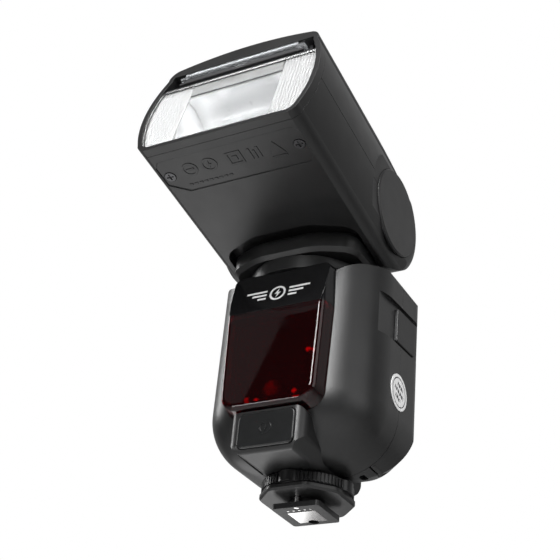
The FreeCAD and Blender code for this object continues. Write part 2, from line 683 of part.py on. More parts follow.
def build_reflector():
    """Polished trough behind the lens, open to the front."""
    def cup(t):
        half, depth = REFLECTOR_HALF - t, REFLECTOR_D - t
        low, high = REFLECTOR_B[0] + t, REFLECTOR_B[1] - t
        mid = (low + high) / 2
        front = -REFLECTOR_FRONT
        lip_high, lip_low = V(-FAR, front, high), V(-FAR, front, low)
        arc = Part.Arc(lip_high, V(-FAR, front + depth, mid), lip_low)
        side = Part.Face(Part.Wire([arc.toShape(), Part.LineSegment(lip_low, lip_high).toShape()]))
        form = side.extrude(V(2 * FAR, 0, 0))
        rear = front + 16
        plan = pad_xy([(-half, front, 0), (half, front, 0), (half - 4, rear, 4), (-half + 4, rear, 4)],
                      -40, 40)
        return form.common(plan)
    hollow = cup(REFLECTOR_T)
    hollow.translate(V(0, -0.05, 0))
    wide = REFLECTOR_HALF - REFLECTOR_T
    mouth = box(-wide, wide, -REFLECTOR_FRONT - 0.2, -REFLECTOR_FRONT + 0.1,
                REFLECTOR_B[0] + REFLECTOR_T, REFLECTOR_B[1] - REFLECTOR_T)
    return cup(0).cut(hollow).cut(mouth)


def build_tube():
    tube = rod(1.9, V(-17.0, -TUBE_A, TUBE_B), V(17.0, -TUBE_A, TUBE_B))
    caps = [rod(2.3, V(s * 14.5, -TUBE_A, TUBE_B), V(s * 17.2, -TUBE_A, TUBE_B)) for s in (-1, 1)]
    return fuse(tube, *caps)


def build_carriage():
    """Frame that carries the reflector and the tube along the guide and the lead screw."""
    a0, a1 = 63.0, 67.5
    frame = pad_xz(rect(-25.0, 25.0, -19.2, 12.9, 1.5), -a1, -a0)
    frame = frame.cut(pad_xz(rect(-23.9, 23.9, -18.15, 11.65, 0.5), -a1 - 1, -a0 + 1))
    ears = [box(24, 32.6, -a1, -a0, SCREW_B - 2.6, SCREW_B + 2.6),
            box(-32.6, -24, -a1, -a0, SCREW_B - 2.6, SCREW_B + 2.6)]
    ears = [ear.cut(box(-24.9, 24.9, -80, 0, -30, 30)) for ear in ears]
    frame = fuse(frame, *ears)
    for s in (-1, 1):
        hole = rod(SCREW_R + RUN, V(s * SCREW_X, -80, SCREW_B), V(s * SCREW_X, -50, SCREW_B))
        frame = frame.cut(hole)
    return frame


def build_lead_screw():
    """Lead screw with a boss at its motor end."""
    screw = rod(SCREW_R, V(SCREW_X, -70.5, SCREW_B), V(SCREW_X, -45.6, SCREW_B))
    boss = rod(SCREW_R + 0.9, V(SCREW_X, -48.0, SCREW_B), V(SCREW_X, -46.4, SCREW_B))
    return fuse(screw, boss)


def build_guide_rod():
    return rod(SCREW_R, V(-SCREW_X, -70.5, SCREW_B), V(-SCREW_X, -34.0, SCREW_B))


def build_motor():
    can = rod(3.2, V(SCREW_X, -45.0, SCREW_B), V(SCREW_X, -35.0, SCREW_B))
    nose = rod(2.0, V(SCREW_X, -46.0, SCREW_B), V(SCREW_X, -44.9, SCREW_B))
    motor = fuse(can, nose)
    return motor.cut(rod(SCREW_R + RUN, V(SCREW_X, -60, SCREW_B), V(SCREW_X, -43.0, SCREW_B)))


def build_rail():
    """Guide that holds the wide panel and the bounce card above the lens."""
    a0, a1 = 25.5, 70.0
    floor = box(-28.6, 28.6, -a1, -a0, 14.6, 15.6)
    sides = [box(-28.6, -27.4, -a1, -a0, 15.5, 22.6), box(27.4, 28.6, -a1, -a0, 15.5, 22.6)]
    rear = box(-28.6, 28.6, -a0 - 1.0, -a0, 15.5, 20.5)
    shelves = [box(-28.4, -24.5, -a1, -a0, 19.3, 20.1), box(24.5, 28.4, -a1, -a0, 19.3, 20.1)]
    return fuse(floor, *sides, rear, *shelves)


def build_wide_panel():
    """Clear pull-out diffuser with a lip at its front edge."""
    panel = box(-PANEL_HALF, PANEL_HALF, -PANEL_TIP, -PANEL_TIP + PANEL_L, 20.5, 21.7)
    lip = box(-24.0, 24.0, -PANEL_TIP - 0.6, -PANEL_TIP + 1.2, 20.4, 22.4)
    return fuse(panel, lip)


def build_bounce_card():
    """White card with a grip bar that is notched in the middle."""
    card = box(-PANEL_HALF, PANEL_HALF, -PANEL_TIP, -PANEL_TIP + PANEL_L, 17.9, 18.7)
    grips = [box(x, x + 21.8, -PANEL_TIP - 0.4, -PANEL_TIP + 1.4, 17.5, 19.2) for x in (-24.0, 2.2)]
    return fuse(card, *grips)


def build_cap(side):
    """Round cover over the end of the tilt axle."""
    cap = rod(CAP_R, V(side * (CHEEK_X - 0.6), 0, 0), V(side * (CHEEK_X + 0.7), 0, 0))
    outer = CHEEK_X + 0.6
    rim = edges_where(cap, lambda e: len(e.Vertexes) == 1 and abs(e.BoundBox.Center.x) > outer)
    return cap.makeChamfer(0.5, rim)


def build_axle():
    return rod(AXLE_R, V(-32.4, 0, 0), V(32.4, 0, 0))


def build_head_screws():
    screws = []
    y = -HEAD_SCREW_A
    for x in (-HEAD_SCREW_X, HEAD_SCREW_X):
        head = rod(2.1, V(x, y, HEAD_LOW + 0.12), V(x, y, HEAD_LOW + 0.9))
        shank = rod(1.1, V(x, y, HEAD_LOW + 0.8), V(x, y, HEAD_LOW + 7))
        screw = fuse(head, shank)
        for turn in (0, 90):
            slot = box(-1.4, 1.4, -0.28, 0.28, HEAD_LOW - 1, HEAD_LOW + 0.55)
            slot.rotate(V(0, 0, 0), V(0, 0, 1), turn)
            slot.translate(V(x, y, 0))
            screw = screw.cut(slot)
        screws.append(screw)
    return group(screws)


# ---- neck ---------------------------------------------------------------------------------
def build_turntable():
    """Disc on the body with a hollow hub that turns in the casing."""
    centre = V(PIVOT.x, PIVOT.y, 0)
    disc = rod(TABLE_R, centre + V(0, 0, BODY_Z[1] + 0.3), centre + V(0, 0, COLLAR_Z[0] + 2.9))
    hub = rod(HUB_R, centre + V(0, 0, HUB_LOW), centre + V(0, 0, BODY_Z[1] + 1))
    table = fuse(disc, hub)
    table = table.cut(rod(CORE_R, centre + V(0, 0, 60), centre + V(0, 0, 120)))
    groove = ring(HUB_R + 1, HUB_R - 1.2, centre + V(0, 0, HUB_LOW + 1.6), centre + V(0, 0, HUB_LOW + 2.7))
    return table.cut(groove)


def build_swivel_clip():
    centre = V(PIVOT.x, PIVOT.y, 0)
    clip = ring(CLIP_R, HUB_R - 1.2, centre + V(0, 0, HUB_LOW + 1.7), centre + V(0, 0, HUB_LOW + 2.6))
    return clip


def build_yoke():
    """Saddle on the turntable with an arched front, and the drum that fills the head's slot."""
    low, high = COLLAR_Z

    def plan(inset, z):
        wide, front, rear = COLLAR_W - inset, COLLAR_FRONT + inset, -1.5 - inset
        return rounded_face([(-wide, rear, 6), (-wide, front + 6.2, 8), (-12, front + 0.1, 22),
                             (12, front + 0.1, 22), (wide, front + 6.2, 8), (wide, rear, 6)], in_xy(z))

    saddle = plan(0, low + 2.0).extrude(V(0, 0, high - low - 2.0))
    skirt = Part.makeLoft([plan(1.2, low + 0.3).OuterWire, plan(0, low + 2.0).OuterWire], True, True)
    rim = edges_where(saddle, lambda e: e.BoundBox.ZMin > high - 1e-6 and e.BoundBox.YMax < -8)
    saddle = saddle.makeFillet(1.5, rim)
    drum = rod(DRUM_R, PIVOT + V(-DRUM_W, 0, 0), PIVOT + V(DRUM_W, 0, 0))
    core = rod(CORE_R, V(PIVOT.x, PIVOT.y, 60), V(PIVOT.x, PIVOT.y, PIVOT.z - 8))
    seat = rod(TABLE_R + 0.1, V(PIVOT.x, PIVOT.y, 60), V(PIVOT.x, PIVOT.y, low + 2.9))
    yoke = fuse(saddle, skirt, drum).cut(seat).cut(core)
    return yoke.cut(rod(AXLE_R, PIVOT + V(-FAR, 0, 0), PIVOT + V(FAR, 0, 0)))


# ---- front panel, window and what is behind it ----------------------------------------------
def build_panel():
    form = panel_form(0).common(box(-FAR, FAR, -60, 0, WINDOW_TOP + 0.1, 100))
    form = form.cut(panel_form(1.6).common(box(-FAR, FAR, -60, 0, WINDOW_TOP + 2, 100)))
    return form.cut(body_form(-0.05))


def build_window():
    form = panel_form(0).common(box(-FAR, FAR, -60, 0, 0, WINDOW_TOP - 0.1))
    form = form.cut(panel_form(WINDOW_WALL).common(box(-FAR, FAR, -60, 0, 0, WINDOW_TOP - WINDOW_WALL)))
    form = form.cut(spine_form(-0.1))
    return form.cut(body_form(-0.05))


def build_tray():
    """Dark tray behind the window with a shelf over the lamps."""
    outer = pad_xz(rect(-17.3, 17.3, 30.7, 64.3, 3.8), -30.6, TRAY_BACK)
    inner = pad_xz(rect(-16.1, 16.1, 31.9, 63.1, 2.8), -31, TRAY_BACK - 1.4)
    shelf = box(-16.3, 16.3, -29.6, TRAY_BACK - 1, 44.0, 45.0)
    return fuse(outer.cut(inner), shelf)


def build_assist_lens():
    """Round projection lens of the focus assist lamp."""
    barrel = rod(4.2, V(ASSIST_X, -28.4, ASSIST_Z), V(ASSIST_X, TRAY_BACK - 1.4, ASSIST_Z))
    ball = Part.makeSphere(6.0, V(ASSIST_X, -24.6, ASSIST_Z))
    dome = ball.common(rod(4.2, V(ASSIST_X, -33, ASSIST_Z), V(ASSIST_X, -28.3, ASSIST_Z)))
    return fuse(barrel, dome)


def build_lamps():
    lamps = []
    for x, z in LAMPS:
        stem = rod(1.5, V(x, -26.4, z), V(x, TRAY_BACK - 1.4, z))
        dome = Part.makeSphere(1.5, V(x, -26.4, z))
        lamps.append(fuse(stem, dome))
    return group(lamps)


def build_sensor():
    """Receiver for light from another flash, in its upright holder."""
    holder = box(9.5, 14.0, -27.6, TRAY_BACK - 1.4, 47.0, 54.0)
    eye = Part.makeSphere(1.6, V(11.75, -27.6, 50.5))
    return fuse(holder, eye)


# ---- inside the body ----------------------------------------------------------------------
def build_cells():
    cells = []
    for i in range(4):
        z = CELL_Z0 + CELL_PITCH * i
        flip = 1 if i % 2 else -1
        middle = (CELL_X[0] + CELL_X[1]) / 2
        half = CELL_L / 2
        can = rod(CELL_R, V(middle - half + (0 if flip > 0 else 1.2), CELL_Y, z),
                  V(middle + half - (1.2 if flip > 0 else 0), CELL_Y, z))
        tip = rod(2.7, V(middle + flip * (half - 1.3), CELL_Y, z), V(middle + flip * half, CELL_Y, z))
        cells.append(fuse(can, tip))
    return group(cells)


def build_battery_tray():
    low = CELL_Z0 - CELL_R - 1.3
    high = CELL_Z0 + 3 * CELL_PITCH + CELL_R + 1.3
    y0, y1 = CELL_Y - CELL_R - 0.9, CELL_Y + CELL_R + 0.8
    tray = box(-24.0, 27.5, y0, y1, low, high)
    tray = tray.cut(box(-22.8, 40, y0 + 0.6, y1 - 0.5, low + 1.0, high - 1.0))
    return tray.common(body_form(WALL + GAP))


def build_tray_contacts():
    """Sprung contacts at the closed end of the battery tray."""
    plates = []
    for i in (0, 2):
        z = CELL_Z0 + CELL_PITCH * i
        plate = box(-22.7, -22.3, CELL_Y - 4, CELL_Y + 4, z - 5, z + CELL_PITCH + 5)
        springs = [ring(3.0, 2.2, V(-22.4, CELL_Y, at), V(-20.1, CELL_Y, at)) for at in (z, z + CELL_PITCH)]
        plates.append(fuse(plate, *springs))
    return group(plates)


def build_door_contacts():
    """Contact strip that the door presses against the cells."""
    strips = []
    for i in (0, 2):
        z = CELL_Z0 + CELL_PITCH * i
        strip = box(BODY_W - WALL - 1.6, BODY_W - WALL - 0.9, CELL_Y - 4, CELL_Y + 4,
                    z - 3 if i else z + 6, z + CELL_PITCH + 4)
        pad = box(BODY_W - WALL - 1.0, BODY_W - WALL, CELL_Y - 3, CELL_Y + 3, z + 8, z + CELL_PITCH + 2)
        strips.append(fuse(strip, pad))
    return group(strips)


def build_capacitor():
    """Main flash capacitor, with a rolled edge near its top."""
    x, y, r = 20.0, -11.0, 8.8
    can = rod(r, V(x, y, 33), V(x, y, 79))
    can = can.makeFillet(1.2, edges_where(can, lambda e: len(e.Vertexes) == 1))
    groove = ring(r + 1, r - 0.7, V(x, y, 74.6), V(x, y, 76.0))
    return can.cut(groove)


def build_power_board():
    board = box(-29, 9.5, -4.4, -3.0, 36, 80)
    parts = [box(-24, -12, -13.5, -4.3, 40, 54), box(-8, 4, -11.5, -4.3, 40, 50),
             rod(3.2, V(-19, -16.0, 64), V(-19, -4.3, 64)), box(-10, 2, -9.5, -4.3, 58, 66)]
    return fuse(board, *parts)


def build_main_board():
    """Rear circuit board with the display module on it."""
    board = box(-24.5, 24.5, 16.9, 17.7, 34, 84).cut(rod(3, V(0, 10, DIAL_Z), V(0, 30, DIAL_Z)))
    display = box(LCD[0] + 2, LCD[1] - 2, 17.6, 20.2, LCD[2] + 2, LCD[3] - 2)
    return fuse(board, display)


def build_lcd_cover():
    return pad_xz(rect(LCD[0], LCD[1], LCD[2], LCD[3], 2.4), BODY_REAR - 1.1, BODY_REAR + 0.5)


def build_key(x, z):
    cap = pad_xz(rect(x - 4.5, x + 4.5, z - 2, z + 2, 1.4), KEY_BACK, BODY_REAR + KEY_PROUD)
    rim = edges_where(cap, lambda e: e.BoundBox.YMin > BODY_REAR + KEY_PROUD - 1e-6)
    flange = box(x - 5.1, x + 5.1, KEY_BACK, KEY_BACK + FLANGE_T, z - 2.7, z + 2.7)
    return fuse(cap.makeFillet(0.4, rim), flange)


def build_round_key(x, z):
    cap = rod(3.4, V(x, KEY_BACK, z), V(x, BODY_REAR + KEY_PROUD, z))
    rim = edges_where(cap, lambda e: len(e.Vertexes) == 1 and e.BoundBox.YMin > BODY_REAR)
    flange = rod(4.3, V(x, KEY_BACK, z), V(x, KEY_BACK + FLANGE_T, z))
    return fuse(cap.makeFillet(0.5, rim), flange)


def build_dial():
    """Select ring with grip notches around the rim of its face."""
    dial = rod(DIAL_R, V(0, KEY_BACK, DIAL_Z), V(0, BODY_REAR + 1.8, DIAL_Z))
    rim = edges_where(dial, lambda e: len(e.Vertexes) == 1 and e.BoundBox.YMin > BODY_REAR)
    dial = dial.makeFillet(0.6, rim)
    dial = fuse(dial, rod(DIAL_R + 1.1, V(0, 18.2, DIAL_Z), V(0, 18.9, DIAL_Z)))
    for i in range(36):
        notch = box(DIAL_R - 1.3, DIAL_R - 0.5, BODY_REAR + 1.3, BODY_REAR + 3, -0.3, 0.3)
        notch.rotate(V(0, 0, 0), V(0, 1, 0), 10 * i)
        notch.translate(V(0, 0, DIAL_Z))
        dial = dial.cut(notch)
    return dial.cut(rod(SET_R + 0.25, V(0, 10, DIAL_Z), V(0, 30, DIAL_Z)))


def build_set_button():
    cap = rod(SET_R, V(0, KEY_BACK, DIAL_Z), V(0, BODY_REAR + 1.4, DIAL_Z))
    rim = edges_where(cap, lambda e: len(e.Vertexes) == 1 and e.BoundBox.YMin > BODY_REAR)
    return cap.makeFillet(0.5, rim)


def build_switch():
    """Slide switch knob; rests at the left end of its slot."""
    x, z = SWITCH_AT[0] - SWITCH_TRAVEL / 2, SWITCH_AT[1]
    knob = pad_xz(rect(x - 2.4, x + 2.4, z - 1.1, z + 1.1, 0.9), 18.0, BODY_REAR + 0.9)
    base = box(x - 2.8, x + 2.8, 18.0, 19.3, z - 2, z + 2)
    return fuse(knob, base)


def build_power_socket():
    """Socket for an external power pack, behind the front cover."""
    block = pad_xz(rect(-7.6, 8.6, 14.9, 23.1, 1.2), -31.6, -26.2)
    for i in range(3):
        x = -4.0 + 4.5 * i
        block = block.cut(rod(1.3, V(x, -40, 19.0), V(x, -28.0, 19.0)))
    return block


def build_sync_jack():
    """2.5 mm socket in the flank of the spine."""
    body = pad_xy(rect(-1.55, 1.55, -5.8, -0.6, 0.4), -6.8, -2.0)
    body = body.cut(Part.makeCylinder(1.25, 4.5, V(0, -3.2, -6.4), V(0, 0, 1)))
    return on_flank(body)


def build_usb_socket():
    shell = pad_xy(rect(-1.45, 1.45, 0.6, 7.4, 0.6), -7.0, -2.0)
    shell = shell.cut(pad_xy(rect(-1.05, 1.05, 1.0, 7.0, 0.4), -6.2, 0))
    return on_flank(shell)


def build_body_screws():
    """Two screws in the underside of the spine, behind the foot."""
    return group([rod(1.7, V(x, 12.6, SPINE_Z), V(x, 12.6, SPINE_Z + 6)) for x in (-8.5, 8.5)])


def build_sticker(y0, y1):
    y, z = STICKER_AT
    disc = rod(STICKER_R, V(BODY_W + 0.02, y, z), V(BODY_W + 0.2, y, z))
    return disc.common(box(0, 60, y0, y1, 0, 100))


def main():
    os.makedirs("parts", exist_ok=True)
    front, rear = build_casing()
    screws = build_body_screws()
    door_pin = knuckle(PIN_DOOR_R, -3.2, KNUCKLE_END + 0.4)
    foot = build_foot()
    flange = rod(FLANGE_R + 0.02, V(0, 0, 0), V(0, 0, SPINE_Z + FLANGE_TOP + 0.02))
    front = front.cut(flange).cut(screws).cut(door_pin)
    rear = rear.cut(flange).cut(screws)
    export("body_front_shell", front)
    export("body_rear_shell", rear)
    export("front_panel", build_panel())
    export("af_window", build_window())
    export("lamp_tray", build_tray())
    export("assist_lens", build_assist_lens())
    export("status_lamps", build_lamps())
    export("light_sensor", build_sensor())
    export("foot_block", foot)
    export("foot_contacts", group([build_foot_plate()] + build_contacts()))
    export("lock_wheel", build_wheel())
    export("lock_plate", build_lock_plate())
    pin_at = V(PIN_XY[0], PIN_XY[1], 0)
    export("lock_pin", rod(PIN_R, pin_at + V(0, 0, PIN_LOW), pin_at + V(0, 0, PIN_TOP)))
    export("body_screws", screws)
    export("battery_door", build_door())
    export("door_tab", build_door_tab())
    export("door_contacts", build_door_contacts())
    export("door_pin", door_pin)
    export("battery_tray", build_battery_tray())
    export("battery_cells", build_cells())
    export("tray_contacts", build_tray_contacts())
    export("main_capacitor", build_capacitor())
    export("power_board", build_power_board())
    export("main_board", build_main_board())
    export("lcd_cover", build_lcd_cover())
    for name, (x, z) in REAR_KEYS.items():
        export(name, build_key(x, z))
    for name, (x, z) in ROUND_KEYS.items():
        export(name, build_round_key(x, z))
    export("select_dial", build_dial())
    export("set_button", build_set_button())
    export("power_switch", build_switch())
    export("power_socket_cover", build_port_cover())
    export("power_socket", build_power_socket())
    export("side_cover", side_cover(0))
    export("side_sockets", group([build_sync_jack(), build_usb_socket()]))
    export("seal_front", build_sticker(-60, -SEAM))
    export("seal_rear", build_sticker(DOOR_Y[0], 60))
    export("turntable", build_turntable())
    export("neck_yoke", build_yoke())
    export("swivel_clip", build_swivel_clip())
    export("tilt_axle", placed_head(build_axle()))
    upper, lower = build_head_shells()
    export("head_upper_shell", placed_head(upper))
    export("head_lower_shell", placed_head(lower))
    export("head_bezel", placed_head(build_bezel()))
    export("head_lens", placed_head(build_lens()))
    export("reflector", placed_head(build_reflector()))
    export("flash_tube", placed_head(build_tube()))
    export("zoom_carriage", placed_head(build_carriage()))
    export("zoom_screw", placed_head(build_lead_screw()))
    export("guide_rod", placed_head(build_guide_rod()))
    export("zoom_motor", placed_head(build_motor()))
    export("panel_rail", placed_head(build_rail()))
    export("wide_panel", placed_head(build_wide_panel()))
    export("bounce_card", placed_head(build_bounce_card()))
    export("pivot_caps", placed_head(group([build_cap(-1), build_cap(1)])))
    export("head_screws", placed_head(build_head_screws()))


main()
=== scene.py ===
import json
import math

import bmesh
import bpy
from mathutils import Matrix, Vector


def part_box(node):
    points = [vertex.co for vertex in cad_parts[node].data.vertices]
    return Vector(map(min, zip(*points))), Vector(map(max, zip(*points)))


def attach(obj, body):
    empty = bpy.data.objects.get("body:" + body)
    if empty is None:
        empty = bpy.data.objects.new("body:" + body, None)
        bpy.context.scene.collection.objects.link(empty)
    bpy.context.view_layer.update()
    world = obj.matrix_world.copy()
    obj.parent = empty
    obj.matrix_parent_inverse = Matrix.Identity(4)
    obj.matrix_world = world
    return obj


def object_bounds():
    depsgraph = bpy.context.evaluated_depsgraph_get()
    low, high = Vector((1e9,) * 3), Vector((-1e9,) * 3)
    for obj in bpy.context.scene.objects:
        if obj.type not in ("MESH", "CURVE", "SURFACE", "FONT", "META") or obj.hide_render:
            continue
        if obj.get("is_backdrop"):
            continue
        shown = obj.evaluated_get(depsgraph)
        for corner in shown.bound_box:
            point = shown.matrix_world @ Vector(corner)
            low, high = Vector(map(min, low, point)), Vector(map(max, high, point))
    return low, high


# Looks of a speedlight flash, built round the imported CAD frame. Metres, +Z up, front towards -Y.

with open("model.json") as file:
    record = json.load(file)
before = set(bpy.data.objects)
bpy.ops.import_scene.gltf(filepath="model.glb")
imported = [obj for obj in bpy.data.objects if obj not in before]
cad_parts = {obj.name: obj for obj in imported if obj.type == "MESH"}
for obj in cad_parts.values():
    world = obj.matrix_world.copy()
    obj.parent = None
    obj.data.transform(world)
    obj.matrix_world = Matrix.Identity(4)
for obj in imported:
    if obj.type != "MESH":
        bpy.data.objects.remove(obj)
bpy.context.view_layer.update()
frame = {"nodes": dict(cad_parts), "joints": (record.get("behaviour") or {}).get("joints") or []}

MM = 0.001
ROOM_FRONT, ROOM_BACK = 0.03, 0.42     # strength of the room's light in front and behind
SLEEVE_X = (-0.02, 0.03)               # x in m over which a cell's sleeve changes from its band
GRIP_START = 71.1                      # mm forward of the tilt axis where the card's grip begins

# ---- places taken from the frame ------------------------------------------------------------
JOINTS = {joint["name"]: joint for joint in frame["joints"]}
PIVOT = Vector(JOINTS["head_tilt"]["pos_m"])
PULL = Vector(JOINTS["wide_panel_slide"]["axis"]).normalized()
HEAD_UP = PULL.cross(Vector((1, 0, 0)))


def in_head(x, forward, up):
    """A point in the head's own frame, in mm: forward of the tilt axis and above it."""
    return PIVOT + Vector((x, 0, 0)) * MM + PULL * (forward * MM) + HEAD_UP * (up * MM)


# ---- node-material helpers --------------------------------------------------------------------
class Nodes:
    """A material's node tree with its Principled shader."""

    def __init__(self, name):
        self.material = bpy.data.materials.new(name)
        self.material.use_nodes = True
        self.tree = self.material.node_tree
        self.shader = self.tree.nodes["Principled BSDF"]

    def add(self, kind, **values):
        node = self.tree.nodes.new(kind)
        for key, value in values.items():
            setattr(node, key, value)
        return node

    def link(self, start, end):
        self.tree.links.new(start, end)

    def set(self, **values):
        for key, value in values.items():
            self.shader.inputs[key.replace("_", " ")].default_value = value

    def place(self):
        return self.add("ShaderNodeTexCoord").outputs["Object"]

    def lets_light_through(self, tint):
        """Shadow rays pass straight through, so that lamps reach what is behind a clear piece."""
        path = self.add("ShaderNodeLightPath")
        open_way = self.add("ShaderNodeBsdfTransparent")
        open_way.inputs["Color"].default_value = (*tint, 1)
        mix = self.add("ShaderNodeMixShader")
        self.link(path.outputs["Is Shadow Ray"], mix.inputs["Fac"])
        self.link(self.shader.outputs["BSDF"], mix.inputs[1])
        self.link(open_way.outputs["BSDF"], mix.inputs[2])
        self.link(mix.outputs["Shader"], self.tree.nodes["Material Output"].inputs["Surface"])

    def noise(self, scale, detail=3.0, roughness=0.5, stretch=None):
        """Noise in object coordinates; scale is in cells a metre."""
        source = self.place()
        if stretch:
            mapping = self.add("ShaderNodeMapping")
            mapping.inputs["Scale"].default_value = stretch
            self.link(source, mapping.inputs["Vector"])
            source = mapping.outputs["Vector"]
        node = self.add("ShaderNodeTexNoise")
        node.inputs["Scale"].default_value = scale
        node.inputs["Detail"].default_value = detail
        node.inputs["Roughness"].default_value = roughness
        self.link(source, node.inputs["Vector"])
        return node.outputs["Fac"]

    def cells(self, scale):
        """Distance to the nearest of scattered points; scale is in cells a metre."""
        node = self.add("ShaderNodeTexVoronoi")
        node.inputs["Scale"].default_value = scale
        self.link(self.place(), node.inputs["Vector"])
        return node.outputs["Distance"]

    def ramp(self, factor, stops):
        """Colour ramp; stops holds (position, colour or grey)."""
        node = self.add("ShaderNodeValToRGB")
        while len(node.color_ramp.elements) < len(stops):
            node.color_ramp.elements.new(0.5)
        for element, (position, colour) in zip(node.color_ramp.elements, stops):
            element.position = position
            if isinstance(colour, (int, float)):
                colour = (colour, colour, colour)
            element.color = (*colour, 1)
        self.link(factor, node.inputs["Fac"])
        return node.outputs["Color"]

    def math(self, operation, *values):
        """Math node; each value is a number or another node's output."""
        node = self.add("ShaderNodeMath", operation=operation)
        for socket, value in zip(node.inputs, values):
            if isinstance(value, (int, float)):
                socket.default_value = value
            else:
                self.link(value, socket)
        return node.outputs["Value"]

    def along(self, axis, origin=(0, 0, 0)):
        """Distance in mm from an origin along a direction, in object coordinates."""
        node = self.add("ShaderNodeVectorMath", operation="DOT_PRODUCT")
        shifted = self.add("ShaderNodeVectorMath", operation="SUBTRACT")
        shifted.inputs[1].default_value = origin
        self.link(self.place(), shifted.inputs[0])
        self.link(shifted.outputs["Vector"], node.inputs[0])
        node.inputs[1].default_value = axis
        return self.math("MULTIPLY", node.outputs["Value"], 1 / MM)

    def inside(self, value, low, high):
        """1 where a value lies between two limits, else 0."""
        return self.math("COMPARE", value, (low + high) / 2, (high - low) / 2)

    def mix(self, mask, colour, marked):
        """Colour output with a second colour where the mask is 1."""
        node = self.add("ShaderNodeMix", data_type="RGBA")
        self.link(mask, node.inputs["Factor"])
        for socket, value in ((node.inputs[6], colour), (node.inputs[7], marked)):
            if isinstance(value, tuple):
                socket.default_value = (*value, 1)
            else:
                self.link(value, socket)
        return node.outputs[2]

    def span(self, factor, low, high):
        """Maps a 0 to 1 value onto low to high."""
        node = self.add("ShaderNodeMapRange")
        node.inputs["To Min"].default_value = low
        node.inputs["To Max"].default_value = high
        self.link(factor, node.inputs["Value"])
        return node.outputs["Result"]

    def bump(self, height, depth_mm, strength, edge_mm=0.0):
        """Bump of a depth in mm; an edge width makes sharp edges look rounded."""
        node = self.add("ShaderNodeBump")
        node.inputs["Strength"].default_value = strength
        node.inputs["Distance"].default_value = depth_mm * MM
        self.link(height, node.inputs["Height"])
        if edge_mm:
            edge = self.add("ShaderNodeBevel", samples=4)
            edge.inputs["Radius"].default_value = edge_mm * MM
            self.link(edge.outputs["Normal"], node.inputs["Normal"])
        self.link(node.outputs["Normal"], self.shader.inputs["Normal"])


def plastic(name, dark, light, rough, grain=2600, depth=0.012, edge=0.25):
    """Moulded plastic: slow colour drift, fine spark-eroded grain and soft edges."""
    m = Nodes(name)
    drift = m.noise(60, 4)
    m.link(m.ramp(drift, [(0.3, dark), (0.7, light)]), m.shader.inputs["Base Color"])
    m.link(m.span(m.noise(140, 3), rough - 0.05, rough + 0.05), m.shader.inputs["Roughness"])
    m.bump(m.noise(grain, 2, 0.6), depth, 0.6, edge)
    return m.material


def gloss(name, colour, rough=0.06):
    """Polished moulding with a slight waviness and faint smears."""
    m = Nodes(name)
    darker = tuple(c * 0.7 for c in colour)
    m.link(m.ramp(m.noise(40, 3), [(0.35, darker), (0.65, colour)]), m.shader.inputs["Base Color"])
    m.link(m.ramp(m.noise(90, 5, 0.7), [(0.45, rough), (0.75, rough + 0.1)]),
           m.shader.inputs["Roughness"])
    m.bump(m.noise(60, 1), 0.02, 0.3, 0.2)
    return m.material


def rubber(name, colour):
    """Soft rubber with a faint sheen."""
    m = Nodes(name)
    darker = tuple(c * 0.75 for c in colour)
    m.link(m.ramp(m.noise(120, 4), [(0.3, darker), (0.7, colour)]), m.shader.inputs["Base Color"])
    m.link(m.span(m.noise(500, 2), 0.27, 0.37), m.shader.inputs["Roughness"])
    m.set(Sheen_Weight=0.05)
    m.bump(m.noise(3200, 2), 0.01, 0.5, 0.3)
    return m.material


def metal(name, colour, rough, stretch=(1, 1, 1), scratch=0.006):
    """Metal with fine lines along one axis, or fine even scratches."""
    m = Nodes(name)
    darker = tuple(c * 0.8 for c in colour)
    lines = m.noise(900, 4, 0.6, stretch)
    m.link(m.ramp(lines, [(0.35, darker), (0.65, colour)]), m.shader.inputs["Base Color"])
    m.link(m.span(lines, rough * 0.7, rough * 1.4), m.shader.inputs["Roughness"])
    m.set(Metallic=1.0)
    m.bump(lines, scratch, 0.5, 0.1)
    return m.material


def red_window():
    """Clear dark-red moulding that light passes through."""
    m = Nodes("red_window")
    tint = (0.13, 0.002, 0.006)
    m.set(Base_Color=(*tint, 1), Transmission_Weight=0.96, IOR=1.49)
    m.link(m.ramp(m.noise(70, 4, 0.7), [(0.5, 0.02), (0.8, 0.08)]), m.shader.inputs["Roughness"])
    m.bump(m.noise(50, 1), 0.02, 0.15)
    m.lets_light_through(tint)
    return m.material


def clear_plastic(name, tint=(0.97, 0.98, 0.985), rough=0.03, weight=1.0):
    """Clear plastic or glass; weight is the share of light that it lets through."""
    m = Nodes(name)
    m.set(Base_Color=(*tint, 1), Transmission_Weight=weight, IOR=1.46)
    m.link(m.ramp(m.noise(120, 4, 0.7), [(0.5, rough), (0.85, rough + 0.08)]),
           m.shader.inputs["Roughness"])
    m.bump(m.noise(80, 1), 0.01, 0.1)
    m.lets_light_through((0.95, 0.95, 0.95))
    return m.material


def lamp_red(name, node_name, painted_glow, depth=1.6):
    """Red moulding with a painted glow and painted glints at its front end; painted shade darkens it
    with depth in mm towards its root.
    """
    m = Nodes(name)
    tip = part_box(node_name)[0]
    back = m.along((0, 1, 0), tuple(tip))
    # Painted shade: colour darkens with distance behind the front end.
    depth_shade = m.math("DIVIDE", back, depth)
    # Painted glints: scattered cells added to that distance.
    painted_glint_and_depth_shade = m.math("ADD", depth_shade, m.math("MULTIPLY", m.cells(900), 0.5))
    m.link(m.ramp(painted_glint_and_depth_shade, [(0.1, (0.95, 0.03, 0.04)), (0.9, (0.10, 0.002, 0.004))]),
           m.shader.inputs["Base Color"])
    # Emission is a painted glow at the front end, standing in for light the red parts catch.
    m.link(m.ramp(painted_glint_and_depth_shade, [(0.05, (1.0, 0.03, 0.04)), (0.6, (0.0, 0.0, 0.0))]),
           m.shader.inputs["Emission Color"])
    m.set(Roughness=0.12, Emission_Strength=painted_glow)
    m.bump(m.cells(500), 0.05, 0.4)
    return m.material


